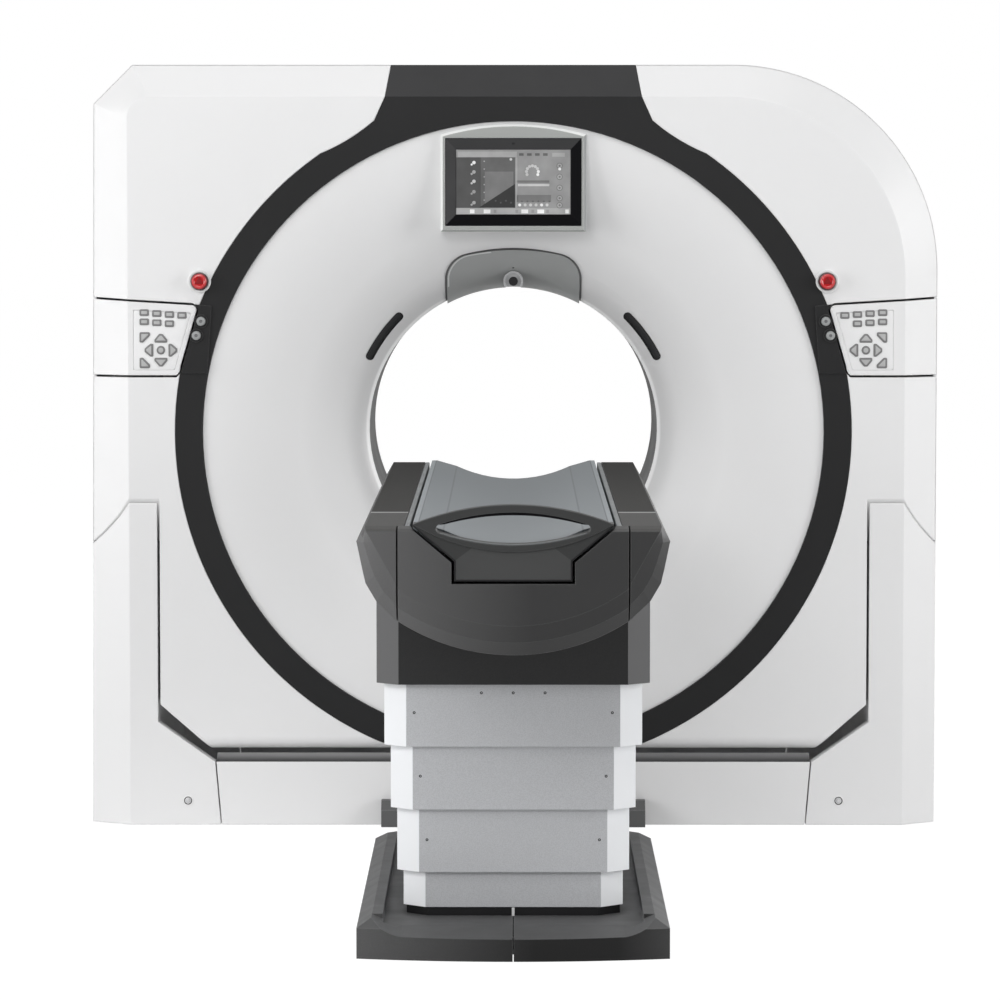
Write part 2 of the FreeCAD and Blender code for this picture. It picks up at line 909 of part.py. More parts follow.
def ring_trim():
    """Black ring round the funnel with the saddle that runs up over the top."""
    body = sub_part("ring_trim")
    front_slab(body)
    half = ring_edge(ring_outer, belly_bottom)
    right = saddle_side()
    left = backwards(mirrored(right, -1))
    outline = [
        *left,
        *right,
        Around(0, iso, clockwise=True),
        (half, belly_bottom),
        (-half, belly_bottom),
        Around(0, iso, clockwise=True),
    ]
    keep_inside(body, outline, front, bevel_back)
    cut(body, "XZ", [Disc(0, iso, ring_inner)], front, bevel_back)
    collar_face = front - s.surround_proud - s.knob_stand
    for side in (-1, 1):
        pad(body, "XZ", [mirrored(surround_outline(), side)], front - s.surround_proud, front)
        nose = [mirrored(pod_outline(s.pod_gap), side)]
        cut(body, "XZ", nose, front - s.surround_proud, bevel_back)
        for place in knob_places(side):
            pad(body, "XZ", [Disc(*place, s.knob_collar)], collar_face, front)
            hole = Disc(*place, s.knob_radius + s.fit_gap)
            cut(body, "XZ", [hole], collar_face, front + s.knob_collar)
    round_belly(body)
    return body


def surround_outline():
    """Black plate round the right pod's nose, a little proud of the ring."""
    nose = pod_outline(s.pod_gap)
    low = pod_nose_low - s.pod_gap * 3
    inner = pod_nose_top_half - s.surround_wide
    return [
        (inner, pod_nose_top + s.pod_gap * 2),
        (nose[3][0] + s.pod_gap * 3, pod_nose_top + s.pod_gap * 3),
        nose[3],
        nose[4],
        (pod_nose_low_half + s.pod_round, low),
        (inner + s.pod_round, low),
    ]


def knob_places(side):
    radius = ring_outer - s.knob_inset
    return [
        (side * ring_edge(radius, knob_upper), knob_upper),
        (side * ring_edge(radius, knob_lower), knob_lower),
    ]


def gantry_shell():
    """Sides and roof behind the bevel, one bent sheet that ends in the ears' arcs."""
    body = sub_part("gantry_shell")
    pad(body, "XZ", [outer_outline()], bevel_back, rear_bevel)
    inside = outer_outline(s.shell_wall)
    inside[0] = (inside[0][0], -s.shell_wall)
    inside[-1] = (inside[-1][0], -s.shell_wall)
    cut(body, "XZ", [inside], bevel_back, rear_bevel)
    far = outer_half + s.bevel_depth
    below_ears(body, -far, far)
    return body


def belly_path(inset=0):
    """Lower outline of the tilting body, from the left wall's top round to the right one's."""
    run = belly_half - belly_toe
    fall = belly_knee - belly_bottom
    slant = root(run * run + fall * fall)
    knee_shift = inset * (slant - fall) / run
    toe_shift = inset * (slant - run) / fall
    right = [
        (belly_toe - toe_shift, belly_bottom + inset),
        (belly_half - inset, belly_knee + knee_shift),
        (belly_half - inset, belly_wall_top),
    ]
    return backwards(mirrored(right, -1)) + right


def belly_shell():
    """Bent sheet that closes the tilting body between the pillars."""
    body = sub_part("belly_shell")
    sheet_loop = belly_path() + backwards(belly_path(s.shell_wall))
    pad(body, "XZ", [sheet_loop], bevel_back, rear_bevel)
    return body


def rear_cover():
    """Back of the tilting body, moulded in one with the rear funnel."""
    body = sub_part("rear_cover")
    rear_slab(body)
    far = outer_half + s.bevel_depth
    low = belly_wall_top - s.bevel_depth * 2
    right = [
        *belly_corner(1),
        (belly_half, low),
        (far, low),
        (far, outer_top + s.bevel_depth),
    ]
    outline = backwards(mirrored(right, -1)) + right
    keep_inside(body, outline, rear_bevel, rear)
    cut(body, "XZ", [Disc(0, iso, rear_mouth)], rear_bevel, rear)
    below_ears(body, -far, -belly_half)
    below_ears(body, belly_half, far)
    round_belly(body)
    start = rear - s.funnel_depth
    knee = rear - s.rear_dish_depth
    wall = s.funnel_wall
    turn_about_bore(body, [
        (start, s.bore_radius),
        (knee, rear_dish_radius),
        (rear, rear_mouth),
        (rear_bevel, rear_mouth),
        (knee - wall, rear_dish_radius + wall),
        (start, s.bore_radius + wall),
    ])
    return body


def funnel_line(gap=0):
    """Half section of the funnel's face, from the rim in to the bore: depth and radius."""
    return [
        (front + s.funnel_start + gap, ring_inner - s.fit_gap),
        Bow(s.dish_bow),
        (front + dish_depth + gap, dish_radius),
        Bow(s.lip_bow),
        (front + s.funnel_depth, s.bore_radius + gap),
    ]


def funnel_cover():
    """White dish that leads into the bore."""
    body = sub_part("funnel_cover", (0, 0, iso))
    turn(body, "YZ", "H_Axis", [funnel_line() + backwards(funnel_line(s.funnel_wall))])
    return body


def scan_window():
    """Thin sleeve between the two funnels that the beam passes through."""
    body = sub_part("scan_window", (0, 0, iso))
    sleeve = box(
        front + s.funnel_depth,
        s.bore_radius,
        rear - s.funnel_depth,
        s.bore_radius + s.window_wall,
    )
    turn(body, "YZ", "H_Axis", [sleeve])
    return body


def behind_funnel(body, gap):
    """Take away what lies behind the funnel's face; the body's frame is at the isocentre."""
    line = funnel_line(-gap)
    line[0] = (line[0][0], ring_inner)
    back = rear - s.bevel_depth
    region = line + [(back, s.bore_radius - gap), (back, ring_inner)]
    turn(body, "YZ", "H_Axis", [region], "PartDesign::Groove")


def monitor_outline(half, bottom, top, crown):
    return [
        (-half, bottom - iso),
        (half, bottom - iso),
        (half, top - iso),
        Bow(crown),
        (-half, top - iso),
    ]


def monitor_frame():
    """Light housing of the gantry's screen, seated in the funnel, with a bevelled front edge."""
    body = sub_part("monitor_frame", (0, 0, iso))
    edge = s.monitor_bevel
    face = front - s.monitor_proud
    full = monitor_outline(s.monitor_half, monitor_bottom, monitor_side_top, s.monitor_crown)
    inset = monitor_outline(
        s.monitor_half - edge, monitor_bottom + edge, monitor_side_top - edge, s.monitor_crown
    )
    pad(body, "XZ", [full], face + edge, front + dish_depth)
    loft(body, "XZ", [(inset, face), (full, face + edge)])
    opening = box(
        -bezel_half - s.fit_gap,
        bezel_bottom - s.fit_gap - iso,
        bezel_half + s.fit_gap,
        bezel_top + s.fit_gap - iso,
    )
    cut(body, "XZ", [opening], face, face + s.bezel_deep)
    behind_funnel(body, s.fit_gap)
    return body


def screen_rim(grow=0):
    """The screen's outline, or one that lies this far outside it."""
    return box(
        -screen_half - grow,
        screen_bottom - grow - iso,
        screen_half + grow,
        screen_top + grow - iso,
    )


def monitor_bezel():
    """Black rim whose four faces rise from the housing to the screen."""
    body = sub_part("monitor_bezel", (0, 0, iso))
    face = front - s.monitor_proud
    crest = face - s.bezel_rise
    rim = box(-bezel_half, bezel_bottom - iso, bezel_half, bezel_top - iso)
    pad(body, "XZ", [rim], face, face + s.bezel_deep)
    loft(body, "XZ", [(screen_rim(s.bezel_lip), crest), (rim, face)])
    seat = crest + s.screen_recess + s.screen_thick
    cut(body, "XZ", [screen_rim()], crest, seat)
    return body


def monitor_screen():
    body = sub_part("monitor_screen", (0, 0, iso))
    glass = front - s.monitor_proud - s.bezel_rise + s.screen_recess
    pad(body, "XZ", [screen_rim(-s.fit_gap)], glass, glass + s.screen_thick)
    return body


def window_panel():
    """Grey arched panel that lies on the funnel's lip above the bore."""
    body = sub_part("window_panel", (0, 0, iso))
    outline = [
        (-s.panel_half, 0),
        (s.panel_half, 0),
        (s.panel_half, panel_shoulder - iso),
        Bow(s.panel_bow),
        (s.panel_crown_half, panel_crown - iso),
        Bow(s.panel_crown),
        (-s.panel_crown_half, panel_crown - iso),
        Bow(s.panel_bow),
        (-s.panel_half, panel_shoulder - iso),
    ]
    skin = funnel_line(-s.panel_proud)
    skin[0] = (front + s.funnel_start, ring_inner - s.fit_gap - s.panel_proud)
    seat = funnel_line(-s.fit_gap)
    turn(body, "YZ", "H_Axis", [skin + backwards(seat)])
    keep_inside(body, outline, front, rear)
    eye = Disc(0, lens_height - iso, s.lens_collar + s.fit_gap)
    cut(body, "XZ", [eye], front, rear)
    return body


def camera_lens():
    """Collar and lens of the patient camera, set in the panel over the bore's edge."""
    body = sub_part("camera_lens", (0, 0, iso))
    height = lens_height - iso
    back = front + s.funnel_depth
    face = back - s.lens_deep
    pad(body, "XZ", [Disc(0, height, s.lens_collar)], face, back)
    ring = [Disc(0, height, s.lens_collar - s.lens_rim), Disc(0, height, s.lens_radius)]
    cut(body, "XZ", ring, face, face + s.lens_rim)
    cut(body, "XZ", [Disc(0, 0, s.bore_radius - s.lens_sink)], face, back)
    behind_funnel(body, s.fit_gap)
    return body


def laser_window(label, side):
    """Dark slot for the positioning laser, a banana shape round the bore."""
    body = sub_part(label, (0, 0, iso))
    skin = funnel_line(-s.slot_proud)
    skin[0] = (front + s.funnel_start, ring_inner - s.fit_gap - s.slot_proud)
    seat = funnel_line(-s.fit_gap / 2)
    turn(body, "YZ", "H_Axis", [skin + backwards(seat)])
    inner = slot_radius - s.slot_width / 2
    outer = slot_radius + s.slot_width / 2

    def at(radius, angle):
        return side * radius * cosine(angle), radius * sine(angle)

    end_swell = side * s.slot_width / 2 * s.slot_round
    banana = [
        at(inner, s.slot_from),
        Bow(end_swell),
        at(outer, s.slot_from),
        Around(0, 0, clockwise=side < 0),
        at(outer, s.slot_to),
        Bow(end_swell),
        at(inner, s.slot_to),
        Around(0, 0, clockwise=side > 0),
    ]
    keep_inside(body, banana, front, rear)
    return body


# ---------------------------------------------------------------- hand controls

def pod(label, side):
    """White control tab that reaches over the ring, with a shallow bed for its keypad."""
    body = sub_part(label)
    front_slab(body)
    keep_inside(body, mirrored(pod_outline(), side), front, bevel_back)
    cut(body, "XZ", [mirrored(mat_outline(s.fit_gap), side)], front, front + s.mat_thick)
    return body


def mat_outline(gap=0):
    """Keypad's outline on the right pod, beside the slanted nose."""
    margin = s.mat_margin - gap
    low = pod_nose_low - s.mat_margin / 2 - gap
    outer = key_row_half + s.key_pitch + s.key_wide / 2 + s.mat_margin + gap
    return [
        (pod_nose_top_half + margin, pod_nose_top - s.mat_margin / 2 + gap),
        (pod_nose_low_half + margin, low),
        (outer, low),
        (outer, pod_nose_top + gap),
    ]


def key_places(side):
    """Centres of the oblong keys: a row of four over a row of three."""
    places = []
    for row, count in enumerate((4, 3)):
        for column in range(count):
            along = s.key_pitch * (1 - column)
            height = key_row_top - s.key_row_drop * row + along * s.key_row_slope
            places.append((side * (key_row_half + along), height))
    return places


def round_key_places(side):
    """Centres of the round keys: a cross of five and two in its outer corners."""
    reach = s.pad_reach
    corner = reach + s.pad_key / 4
    places = [(0, 0), (reach, 0), (-reach, 0), (0, reach), (0, -reach)]
    places += [(corner, corner), (corner, -corner)]
    return [(side * (pad_centre_half + x), pad_centre + z) for x, z in places]


def keypad(label, side):
    """One moulded mat with its fourteen keys."""
    body = sub_part(label)
    pad(body, "XZ", [mirrored(mat_outline(), side)], front, front + s.mat_thick)
    oblong = []
    for across, height in key_places(side):
        oblong.append(box(
            across - s.key_wide / 2,
            height - s.key_tall / 2,
            across + s.key_wide / 2,
            height + s.key_tall / 2,
        ))
    pad(body, "XZ", oblong, front - s.key_proud, front)
    discs = [Disc(across, height, s.pad_key) for across, height in round_key_places(side)]
    pad(body, "XZ", discs, front - s.key_proud, front)
    return body


def knob(label, place):
    """Round push button with its stem in the ring."""
    body = sub_part(label, (place[0], 0, place[1]))
    face = front - s.surround_proud - s.knob_stand - s.knob_proud
    edge = s.knob_proud / 2
    section = [
        (face, 0),
        (face, s.knob_radius - edge),
        (face + edge, s.knob_radius),
        (front + s.knob_proud, s.knob_radius),
        (front + s.knob_proud, 0),
    ]
    turn(body, "YZ", "H_Axis", [section])
    return body


def estop_button(label, side):
    """Red mushroom button; its stem slides in the collar."""
    body = sub_part(label, (side * estop_half, 0, estop_height))
    back = front - s.estop_stand - s.estop_travel - s.fit_gap
    face = back - s.estop_head
    section = [
        (face, 0),
        (face, s.estop_radius / 2),
        Bow(-s.estop_crown),
        (face + s.estop_head / 2, s.estop_radius),
        (back, s.estop_radius - s.estop_crown),
        (back, s.estop_stem),
        (front + s.fit_gap, s.estop_stem),
        (front + s.fit_gap, 0),
    ]
    turn(body, "YZ", "H_Axis", [section])
    return body


# ---------------------------------------------------------------- what tilts and turns inside

frame_front = tilt_axis - s.frame_plate / 2
frame_back = tilt_axis + s.frame_plate / 2
bearing_front = frame_front - s.bearing_deep
drum_front = bearing_front - s.fit_gap - s.drum_plate


def tilt_frame():
    """Steel plate that carries the main bearing, the drive's stator and the brushes."""
    body = sub_part("tilt_frame")
    arm = s.arm_half
    reach = upright_inner - s.upright_gap
    lug = s.frame_lug_half
    plate = [Disc(0, iso, frame_outer)]
    pad(body, "XZ", plate, frame_front, frame_back)
    pad(body, "XZ", [box(-reach, iso - arm, reach, iso + arm)], frame_front, frame_back)
    foot = box(-lug, belly_bottom + s.shell_wall, lug, iso - bearing_outer)
    pad(body, "XZ", [foot], frame_front, frame_back)
    cut(body, "XZ", [Disc(0, iso, bearing_inner + s.frame_plate / 2)], frame_front, frame_back)
    for low, high in ((-upright_outer, -bearing_outer), (bearing_outer, upright_outer)):
        pad(body, "YZ", [Disc(tilt_axis, iso, s.trunnion_radius)], low, high)
    stator = box(drum_front, drum_outer + s.drive_gap, frame_front, frame_outer)
    turn_about_bore(body, stator)
    brush = slip_outer + s.fit_gap
    low = iso - bearing_inner - s.frame_plate
    block = box(-s.brush_half, low, s.brush_half, iso - brush + s.slip_groove)
    pad(body, "XZ", [block], frame_back, frame_back + s.slip_deep)
    cut(body, "XZ", [Disc(0, iso, brush)], frame_back, frame_back + s.slip_deep)
    return body


def main_bearing():
    """Outer race of the big bearing, on the front of the tilt frame."""
    body = sub_part("main_bearing", (0, 0, iso))
    race = box(bearing_front, bearing_inner, frame_front, bearing_outer)
    turn(body, "YZ", "H_Axis", [race])
    return body


def rotor_drum():
    """Turning plate with its rim and the hub that runs in the bearing and carries the slip ring."""
    body = sub_part("rotor_drum", (0, 0, iso))
    plate_back = drum_front + s.drum_plate
    wall = s.drum_plate
    hub = bearing_inner - s.fit_gap
    flange_back = frame_back - s.drive_gap
    back = frame_back + s.slip_deep
    section = [
        (drum_front, drum_inner),
        (drum_front, drum_outer - wall),
        (drum_front - s.drum_rim, drum_outer - wall),
        (drum_front - s.drum_rim, drum_outer),
        (plate_back, drum_outer),
        (plate_back, hub),
        (flange_back, hub),
        (flange_back, slip_inner),
        (back, slip_inner),
        (back, slip_inner - wall),
        (flange_back - wall, slip_inner - wall),
        (flange_back - wall, hub - wall),
        (plate_back, hub - wall),
        (plate_back, drum_inner),
    ]
    turn(body, "YZ", "H_Axis", [section])
    return body


def slip_ring():
    """Insulating ring with its conductor grooves, on the rotor's hub."""
    body = sub_part("slip_ring", (0, 0, iso))
    pitch = s.slip_deep / s.slip_grooves
    depth = s.slip_groove
    section = [(frame_back, slip_inner)]
    for number in range(int(s.slip_grooves.number)):
        start = frame_back + pitch * number
        section += [
            (start, slip_outer),
            (start + pitch / 2, slip_outer),
            (start + pitch / 2, slip_outer - depth),
            (start + pitch, slip_outer - depth),
        ]
    section.append((frame_back + s.slip_deep, slip_inner))
    turn(body, "YZ", "H_Axis", [section])
    return body


def xray_tube():
    """Cylindrical tube housing with its narrower ends, mounted on the rotor's plate."""
    body = sub_part("xray_tube", (0, 0, iso + tube_centre))
    end = s.tube_long / 4
    start = drum_front - s.tube_long
    neck = s.tube_radius - s.drum_plate
    section = [
        (start, 0),
        (start, neck),
        (start + end, s.tube_radius),
        (drum_front, s.tube_radius),
        (drum_front, 0),
    ]
    turn(body, "YZ", "H_Axis", [section])
    return body


def collimator():
    """Tapered box between the tube and the bore."""
    body = sub_part("collimator")
    top = iso + tube_centre - s.tube_radius
    low = iso + drum_inner + s.drum_plate / 2
    top_half = s.collimator_half
    low_half = s.collimator_half * 2
    shape = [(-low_half, low), (low_half, low), (top_half, top), (-top_half, top)]
    pad(body, "XZ", [shape], drum_front - s.detector_deep, drum_front)
    return body


def detector_arc():
    """Curved detector opposite the tube, centred on the focal spot."""
    body = sub_part("detector_arc", (0, 0, iso))
    focus = tube_centre
    inner = focus + drum_inner + s.drum_plate
    outer = inner + s.detector_thick
    angle = s.detector_half_angle
    right_inner = (inner * sine(angle), focus - inner * cosine(angle))
    right_outer = (outer * sine(angle), focus - outer * cosine(angle))
    left_inner = (-right_inner[0], right_inner[1])
    left_outer = (-right_outer[0], right_outer[1])
    shape = [
        left_outer,
        Around(0, focus),
        right_outer,
        right_inner,
        Around(0, focus, clockwise=True),
        left_inner,
    ]
    pad(body, "XZ", [shape], drum_front - s.detector_deep, drum_front)
    return body


def rotor_box(label, side):
    """High-voltage generator or heat exchanger, a box at the side of the rotor."""
    body = sub_part(label)
    inner = side * rotor_box_inner
    outer = side * rotor_box_outer
    low, high = (inner, outer) if side > 0 else (outer, inner)
    tall = s.rotor_box_half
    shape = box(low, iso - tall, high, iso + tall)
    pad(body, "XZ", [shape], drum_front - s.detector_deep, drum_front)
    return body


# ---------------------------------------------------------------- stand

beam_low = s.foot_tall
beam_high = s.foot_tall + s.beam_tall
beam_front = front + s.beam_inset
beam_rear = rear - s.beam_inset

def gantry_block(body):
    """The whole gantry's form with both bevels."""
    sections = [
        (face_outline(), front),
        (outer_outline(), bevel_back),
        (outer_outline(), rear_bevel),
        (face_outline(), rear),
    ]
    return loft(body, "XZ", sections)


def skirt_edge(shift=0):
    """Seam between the pillar cover and the middle panel, bottom to top."""
    return [
        (seam_low_half + shift, s.floor_gap),
        (seam_top_half + shift, skirt_top),
    ]


def pillar_cover(label, side):
    """White cover of one leg: a hollow box with short skirts in front and behind."""
    body = sub_part(label)
    gantry_block(body)
    far = outer_half + s.bevel_depth
    outline = [
        *skirt_edge(s.seam_gap / 2),
        (skirt_toe, skirt_top + s.seam_gap),
        (pillar_half, pillar_knee),
        (pillar_half, iso),
        (far, iso),
        (far, s.floor_gap),
    ]
    keep_inside(body, mirrored(outline, side), front, rear)
    above_pillar(body, -far, far)
    wall = s.pillar_wall
    inner = [
        (pillar_half - far, -far),
        (pillar_half, -far),
        (pillar_half, far),
        (pillar_half - far, far),
    ]
    cut(body, "XZ", [mirrored(inner, side)], front + s.skirt_thick, rear - s.skirt_thick)
    face = face_left if side < 0 else face_right
    hollow = [
        (pillar_half + wall, front + wall),
        (face, front + wall),
        (outer_half - s.left_lean - wall, bevel_back + wall / 2),
        (outer_half - s.left_lean - wall, rear_bevel - wall / 2),
        (face, rear - wall),
        (pillar_half + wall, rear - wall),
    ]
    cut(body, "XY", [mirrored(hollow, side)], 0, iso)
    gap = s.fit_gap
    for low, high in beam_spans():
        notch = [
            (pillar_half - wall, low - gap),
            (pillar_half + wall * 2, low - gap),
            (pillar_half + wall * 2, high + gap),
            (pillar_half - wall, high + gap),
        ]
        cut(body, "XY", [mirrored(notch, side)], 0, beam_high + gap)
    return body


def stand_panel(label, at_front):
    """Low white panel between the legs; a coved sill closes the view under the tilting body."""
    body = sub_part(label)
    right = skirt_edge(-s.seam_gap / 2)
    right.append((right[1][0], skirt_top + s.sill_rise))
    outline = backwards(mirrored(right, -1)) + right
    low, high = (front, front + s.skirt_thick) if at_front else (rear - s.skirt_thick, rear)
    pad(body, "XZ", [outline], low, high)
    face, way = (front, 1) if at_front else (rear, -1)
    back = face + way * s.skirt_thick
    over = [
        (face, skirt_top),
        (face + way * s.sill_ledge, skirt_top),
        Bow(way * s.sill_bow),
        (back, skirt_top + s.sill_rise),
        (face, skirt_top + s.sill_rise * 2),
    ]
    cut(body, "YZ", [over], -outer_half, outer_half)
    return body


def beam_spans():
    """Where the two cross beams lie along Y."""
    front_beam = beam_front + s.beam_wide
    rear_beam = beam_rear - s.beam_wide
    return [(front_beam, front_beam + s.beam_wide), (rear_beam - s.beam_wide, rear_beam)]


def stand_frame():
    """Steel floor frame with levelling feet and the two uprights that carry the trunnions."""
    body = sub_part("stand_frame")
    (front_low, front_high), (rear_low, rear_high) = beam_spans()
    beams = [
        box(-upright_inner, front_low, upright_inner, front_high),
        box(-upright_inner, rear_low, upright_inner, rear_high),
    ]
    pad(body, "XY", beams, beam_low, beam_high)
    skirt = s.skirt_thick + s.fit_gap
    tab = s.tab_half
    for side in (-1, 1):
        middle = side * s.tab_place
        tabs = [
            box(middle - tab, front + skirt, middle + tab, front_low),
            box(middle - tab, rear_high, middle + tab, rear - skirt),
        ]
        pad(body, "XY", tabs, beam_low, beam_high)
    half = s.beam_wide / 2
    for side in (-1, 1):
        middle = side * anchor_half
        rail = box(middle - half, beam_front, middle + half, beam_rear)
        pad(body, "XY", [rail], beam_low, beam_high)
        low, high = (upright_inner, upright_outer)
        if side < 0:
            low, high = (-upright_outer, -upright_inner)
        upright = [
            (tilt_axis - s.upright_half, beam_high - s.beam_tall / 2),
            (tilt_axis + s.upright_half, beam_high - s.beam_tall / 2),
            (tilt_axis + s.upright_half, iso),
            Around(tilt_axis, iso),
            (tilt_axis - s.upright_half, iso),
        ]
        pad(body, "YZ", [upright], low, high)
    seat = Disc(tilt_axis, iso, s.trunnion_radius + s.trunnion_gap)
    cut(body, "YZ", [seat], -upright_outer, upright_outer)
    holes = []
    for side in (-1, 1):
        for along in (beam_front + s.anchor_inset, beam_rear - s.anchor_inset):
            holes.append(Disc(side * anchor_half, along, s.anchor_bore / 2))
    cut(body, "XY", holes, beam_low, beam_high)
    feet = []
    for side in (-1, 1):
        for along in (beam_front + s.foot_inset, beam_rear - s.foot_inset):
            feet.append(Disc(side * anchor_half, along, s.foot_radius))
    pad(body, "XY", feet, 0, beam_low)
    return body


def docking_block():
    """Dark sill in front of the gantry and the flat cable duct that joins it to the table base."""
    body = sub_part("docking_block")
    start = front - s.dock_deep
    shape = [
        (start, s.floor_gap),
        (front, s.floor_gap),
        (front, s.dock_high),
        (start + (s.dock_high - s.dock_low), s.dock_high),
        (start, s.dock_low),
    ]
    pad(body, "YZ", [shape], -s.dock_half, s.dock_half)
    duct = box(-s.duct_half, s.base_far, s.duct_half, start)
    pad(body, "XY", [duct], s.floor_gap, s.duct_tall)
    return body


# ---------------------------------------------------------------- table base and lift

pedestal_back = s.pedestal_front + s.pedestal_deep
cover_halves = [s.cover_half - s.cover_step * number for number in range(4)]


def plan_outline(half, near, far):
    """Chamfered rectangle in plan, the section of the lifting covers."""
    cut_x = s.cover_chamfer_x
    cut_y = s.cover_chamfer_y
    return [
        (-half, near + cut_y),
        (-half + cut_x, near),
        (half - cut_x, near),
        (half, near + cut_y),
        (half, far - cut_y),
        (half - cut_x, far),
        (-half + cut_x, far),
        (-half, far - cut_y),
    ]


def cover_plan(half, grow=0):
    """A cover of this half width; all covers keep the same margin front and back."""
    margin = s.skirt_half - half - grow
    return plan_outline(half + grow, s.pedestal_front + margin, pedestal_back - margin)


def base_plan(half, grow=0):
    """Floor outline of the table base: bulged in front, chamfered corners behind."""
    corner = s.base_corner
    return [
        (-half, s.base_front - grow),
        Bow(s.base_bulge),
        (half, s.base_front - grow),
        (half, s.base_far + grow - corner),
        (half - corner, s.base_far + grow),
        (-half + corner, s.base_far + grow),
        (-half, s.base_far + grow - corner),
    ]


def scoop_section(level, bow):
    """Front view of what the scoop takes away: flat at this level, with curved flanks."""
    high = s.ridge_height * 2
    flank = [
        (s.scoop_flat_half, level),
        Bow(bow),
        (s.ridge_half, s.ridge_height),
        (s.ridge_half, high),
    ]
    return flank + backwards(mirrored(flank, -1))


def base_cover(label, side):
    """Half of the dark base cover, split along the middle."""
    body = sub_part(label)
    slope = s.base_half - s.ridge_half
    loft(body, "XY", [
        (base_plan(s.base_half), 0),
        (base_plan(s.base_half), s.base_side),
        (base_plan(s.ridge_half, -slope), s.ridge_height),
    ])
    rim = s.ridge_height - s.deck_height
    deck = base_plan(s.ridge_half - rim, -slope - rim)
    cut(body, "XY", [deck], s.deck_height, s.ridge_height)
    ramp_back = s.pedestal_front - s.ramp_start
    ramp_front = s.base_front - s.base_bulge * 2
    scoop = [
        (scoop_section(s.scoop_lip, s.scoop_bow_front), ramp_front),
        (scoop_section(s.deck_height, s.scoop_bow_back), ramp_back),
    ]
    loft(body, "XZ", scoop, "PartDesign::SubtractiveLoft")
    cavity = base_plan(s.ridge_half - s.base_wall, -slope - s.base_wall)
    roof = s.scoop_lip - s.base_wall
    cut(body, "XY", [cavity], 0, roof)
    opening = cover_plan(cover_halves[3] - s.plinth_inset, s.fit_gap)
    cut(body, "XY", [opening], 0, s.ridge_height)
    far = s.base_half * 2
    low, high = (-far, s.base_seam / 2) if side > 0 else (-s.base_seam / 2, far)
    cut(body, "XY", [box(low, 2 * s.base_front, high, far)], 0, s.ridge_height)
    return body


def base_plate():
    """Steel plate on the floor with the lugs of the lower arm pivots."""
    body = sub_part("base_plate")
    margin = s.base_half - s.plate_half
    plate = box(
        -s.plate_half,
        s.base_front + margin,
        s.plate_half,
        s.base_far - s.base_corner - margin,
    )
    pad(body, "XY", [plate], 0, s.plate_thick)
    pivot = s.pedestal_front + s.arm_pivot_back
    arm = s.arm_wide / 2
    start = s.arm_outer_half + s.arm_thick / 2 + s.fit_gap
    for side in (-1, 1):
        lug = [
            (pivot - arm, s.plate_thick / 2),
            (pivot + arm, s.plate_thick / 2),
            (pivot + arm, s.arm_pivot_low),
            Around(pivot, s.arm_pivot_low),
            (pivot - arm, s.arm_pivot_low),
        ]
        pin = Disc(pivot, s.arm_pivot_low, s.pin_radius)
        stop = start + s.lug_thick
        reach = start - s.arm_thick - s.fit_gap
        lug_span = (start, stop) if side > 0 else (-stop, -start)
        pin_span = (reach, start) if side > 0 else (-start, -reach)
        pad(body, "YZ", [lug], *lug_span)
        pad(body, "YZ", [pin], *pin_span)
    return body


def lifting_cover(label, half, low, high, next_half):
    """Tube of a lifting cover; its bottom edge is turned in to guide the next smaller one."""
    body = sub_part(label)
    pad(body, "XY", [cover_plan(half)], low, high)
    cut(body, "XY", [cover_plan(half, -s.cover_wall)], low + s.cover_wall, high)
    cut(body, "XY", [cover_plan(next_half, s.fit_gap)], low, high)
    return body


def standing_cover():
    """The lowest cover stands still; it overhangs a recessed plinth that reaches the plate."""
    body = sub_part("pedestal_cover_4")
    half = cover_halves[3]
    wall = s.cover_wall
    foot = half - s.plinth_inset
    step = s.deck_height + s.plinth_tall
    pad(body, "XY", [cover_plan(half), cover_plan(half, -wall)], step, s.cover_4_top)
    pad(body, "XY", [cover_plan(half), cover_plan(foot, -wall)], step, step + wall)
    pad(body, "XY", [cover_plan(foot), cover_plan(foot, -wall)], s.plate_thick, step + wall)
    return body


def arm_pair(label, middle, tie_low, low_y, low_z, high_y, high_z):
    """Two parallel scissor arms tied by a cross tube."""
    body = sub_part(label)
    half = s.arm_wide / 2
    run = high_y - low_y
    rise = high_z - low_z
    span = root(run * run + rise * rise)
    along_y = run / span * half
    along_z = rise / span * half
    shape = [
        (low_y + along_z, low_z - along_y),
        (high_y + along_z, high_z - along_y),
        Around(high_y, high_z),
        (high_y - along_z, high_z + along_y),
        (low_y - along_z, low_z + along_y),
        Around(low_y, low_z),
    ]
    inner = middle - s.arm_thick / 2
    outer = middle + s.arm_thick / 2
    hole_y, hole_z = (low_y, low_z) if tie_low else (high_y, high_z)
    for span_low, span_high in ((-outer, -inner), (inner, outer)):
        pad(body, "YZ", [shape], span_low, span_high)
    hole = Disc(hole_y, hole_z, s.pin_radius + s.pin_gap)
    cut(body, "YZ", [hole], -outer, outer)
    tie = s.tie_place
    tie_y = hole_y + (run * tie if tie_low else -run * tie)
    tie_z = hole_z + (rise * tie if tie_low else -rise * tie)
    pad(body, "YZ", [Disc(tie_y, tie_z, s.tie_radius)], -inner, inner)
    return body


pivot_y = s.pedestal_front + s.arm_pivot_back
free_y = pivot_y + root(s.arm_span * s.arm_span - s.arm_rise * s.arm_rise)
pivot_top = s.arm_pivot_low + s.arm_rise


# ---------------------------------------------------------------- table top

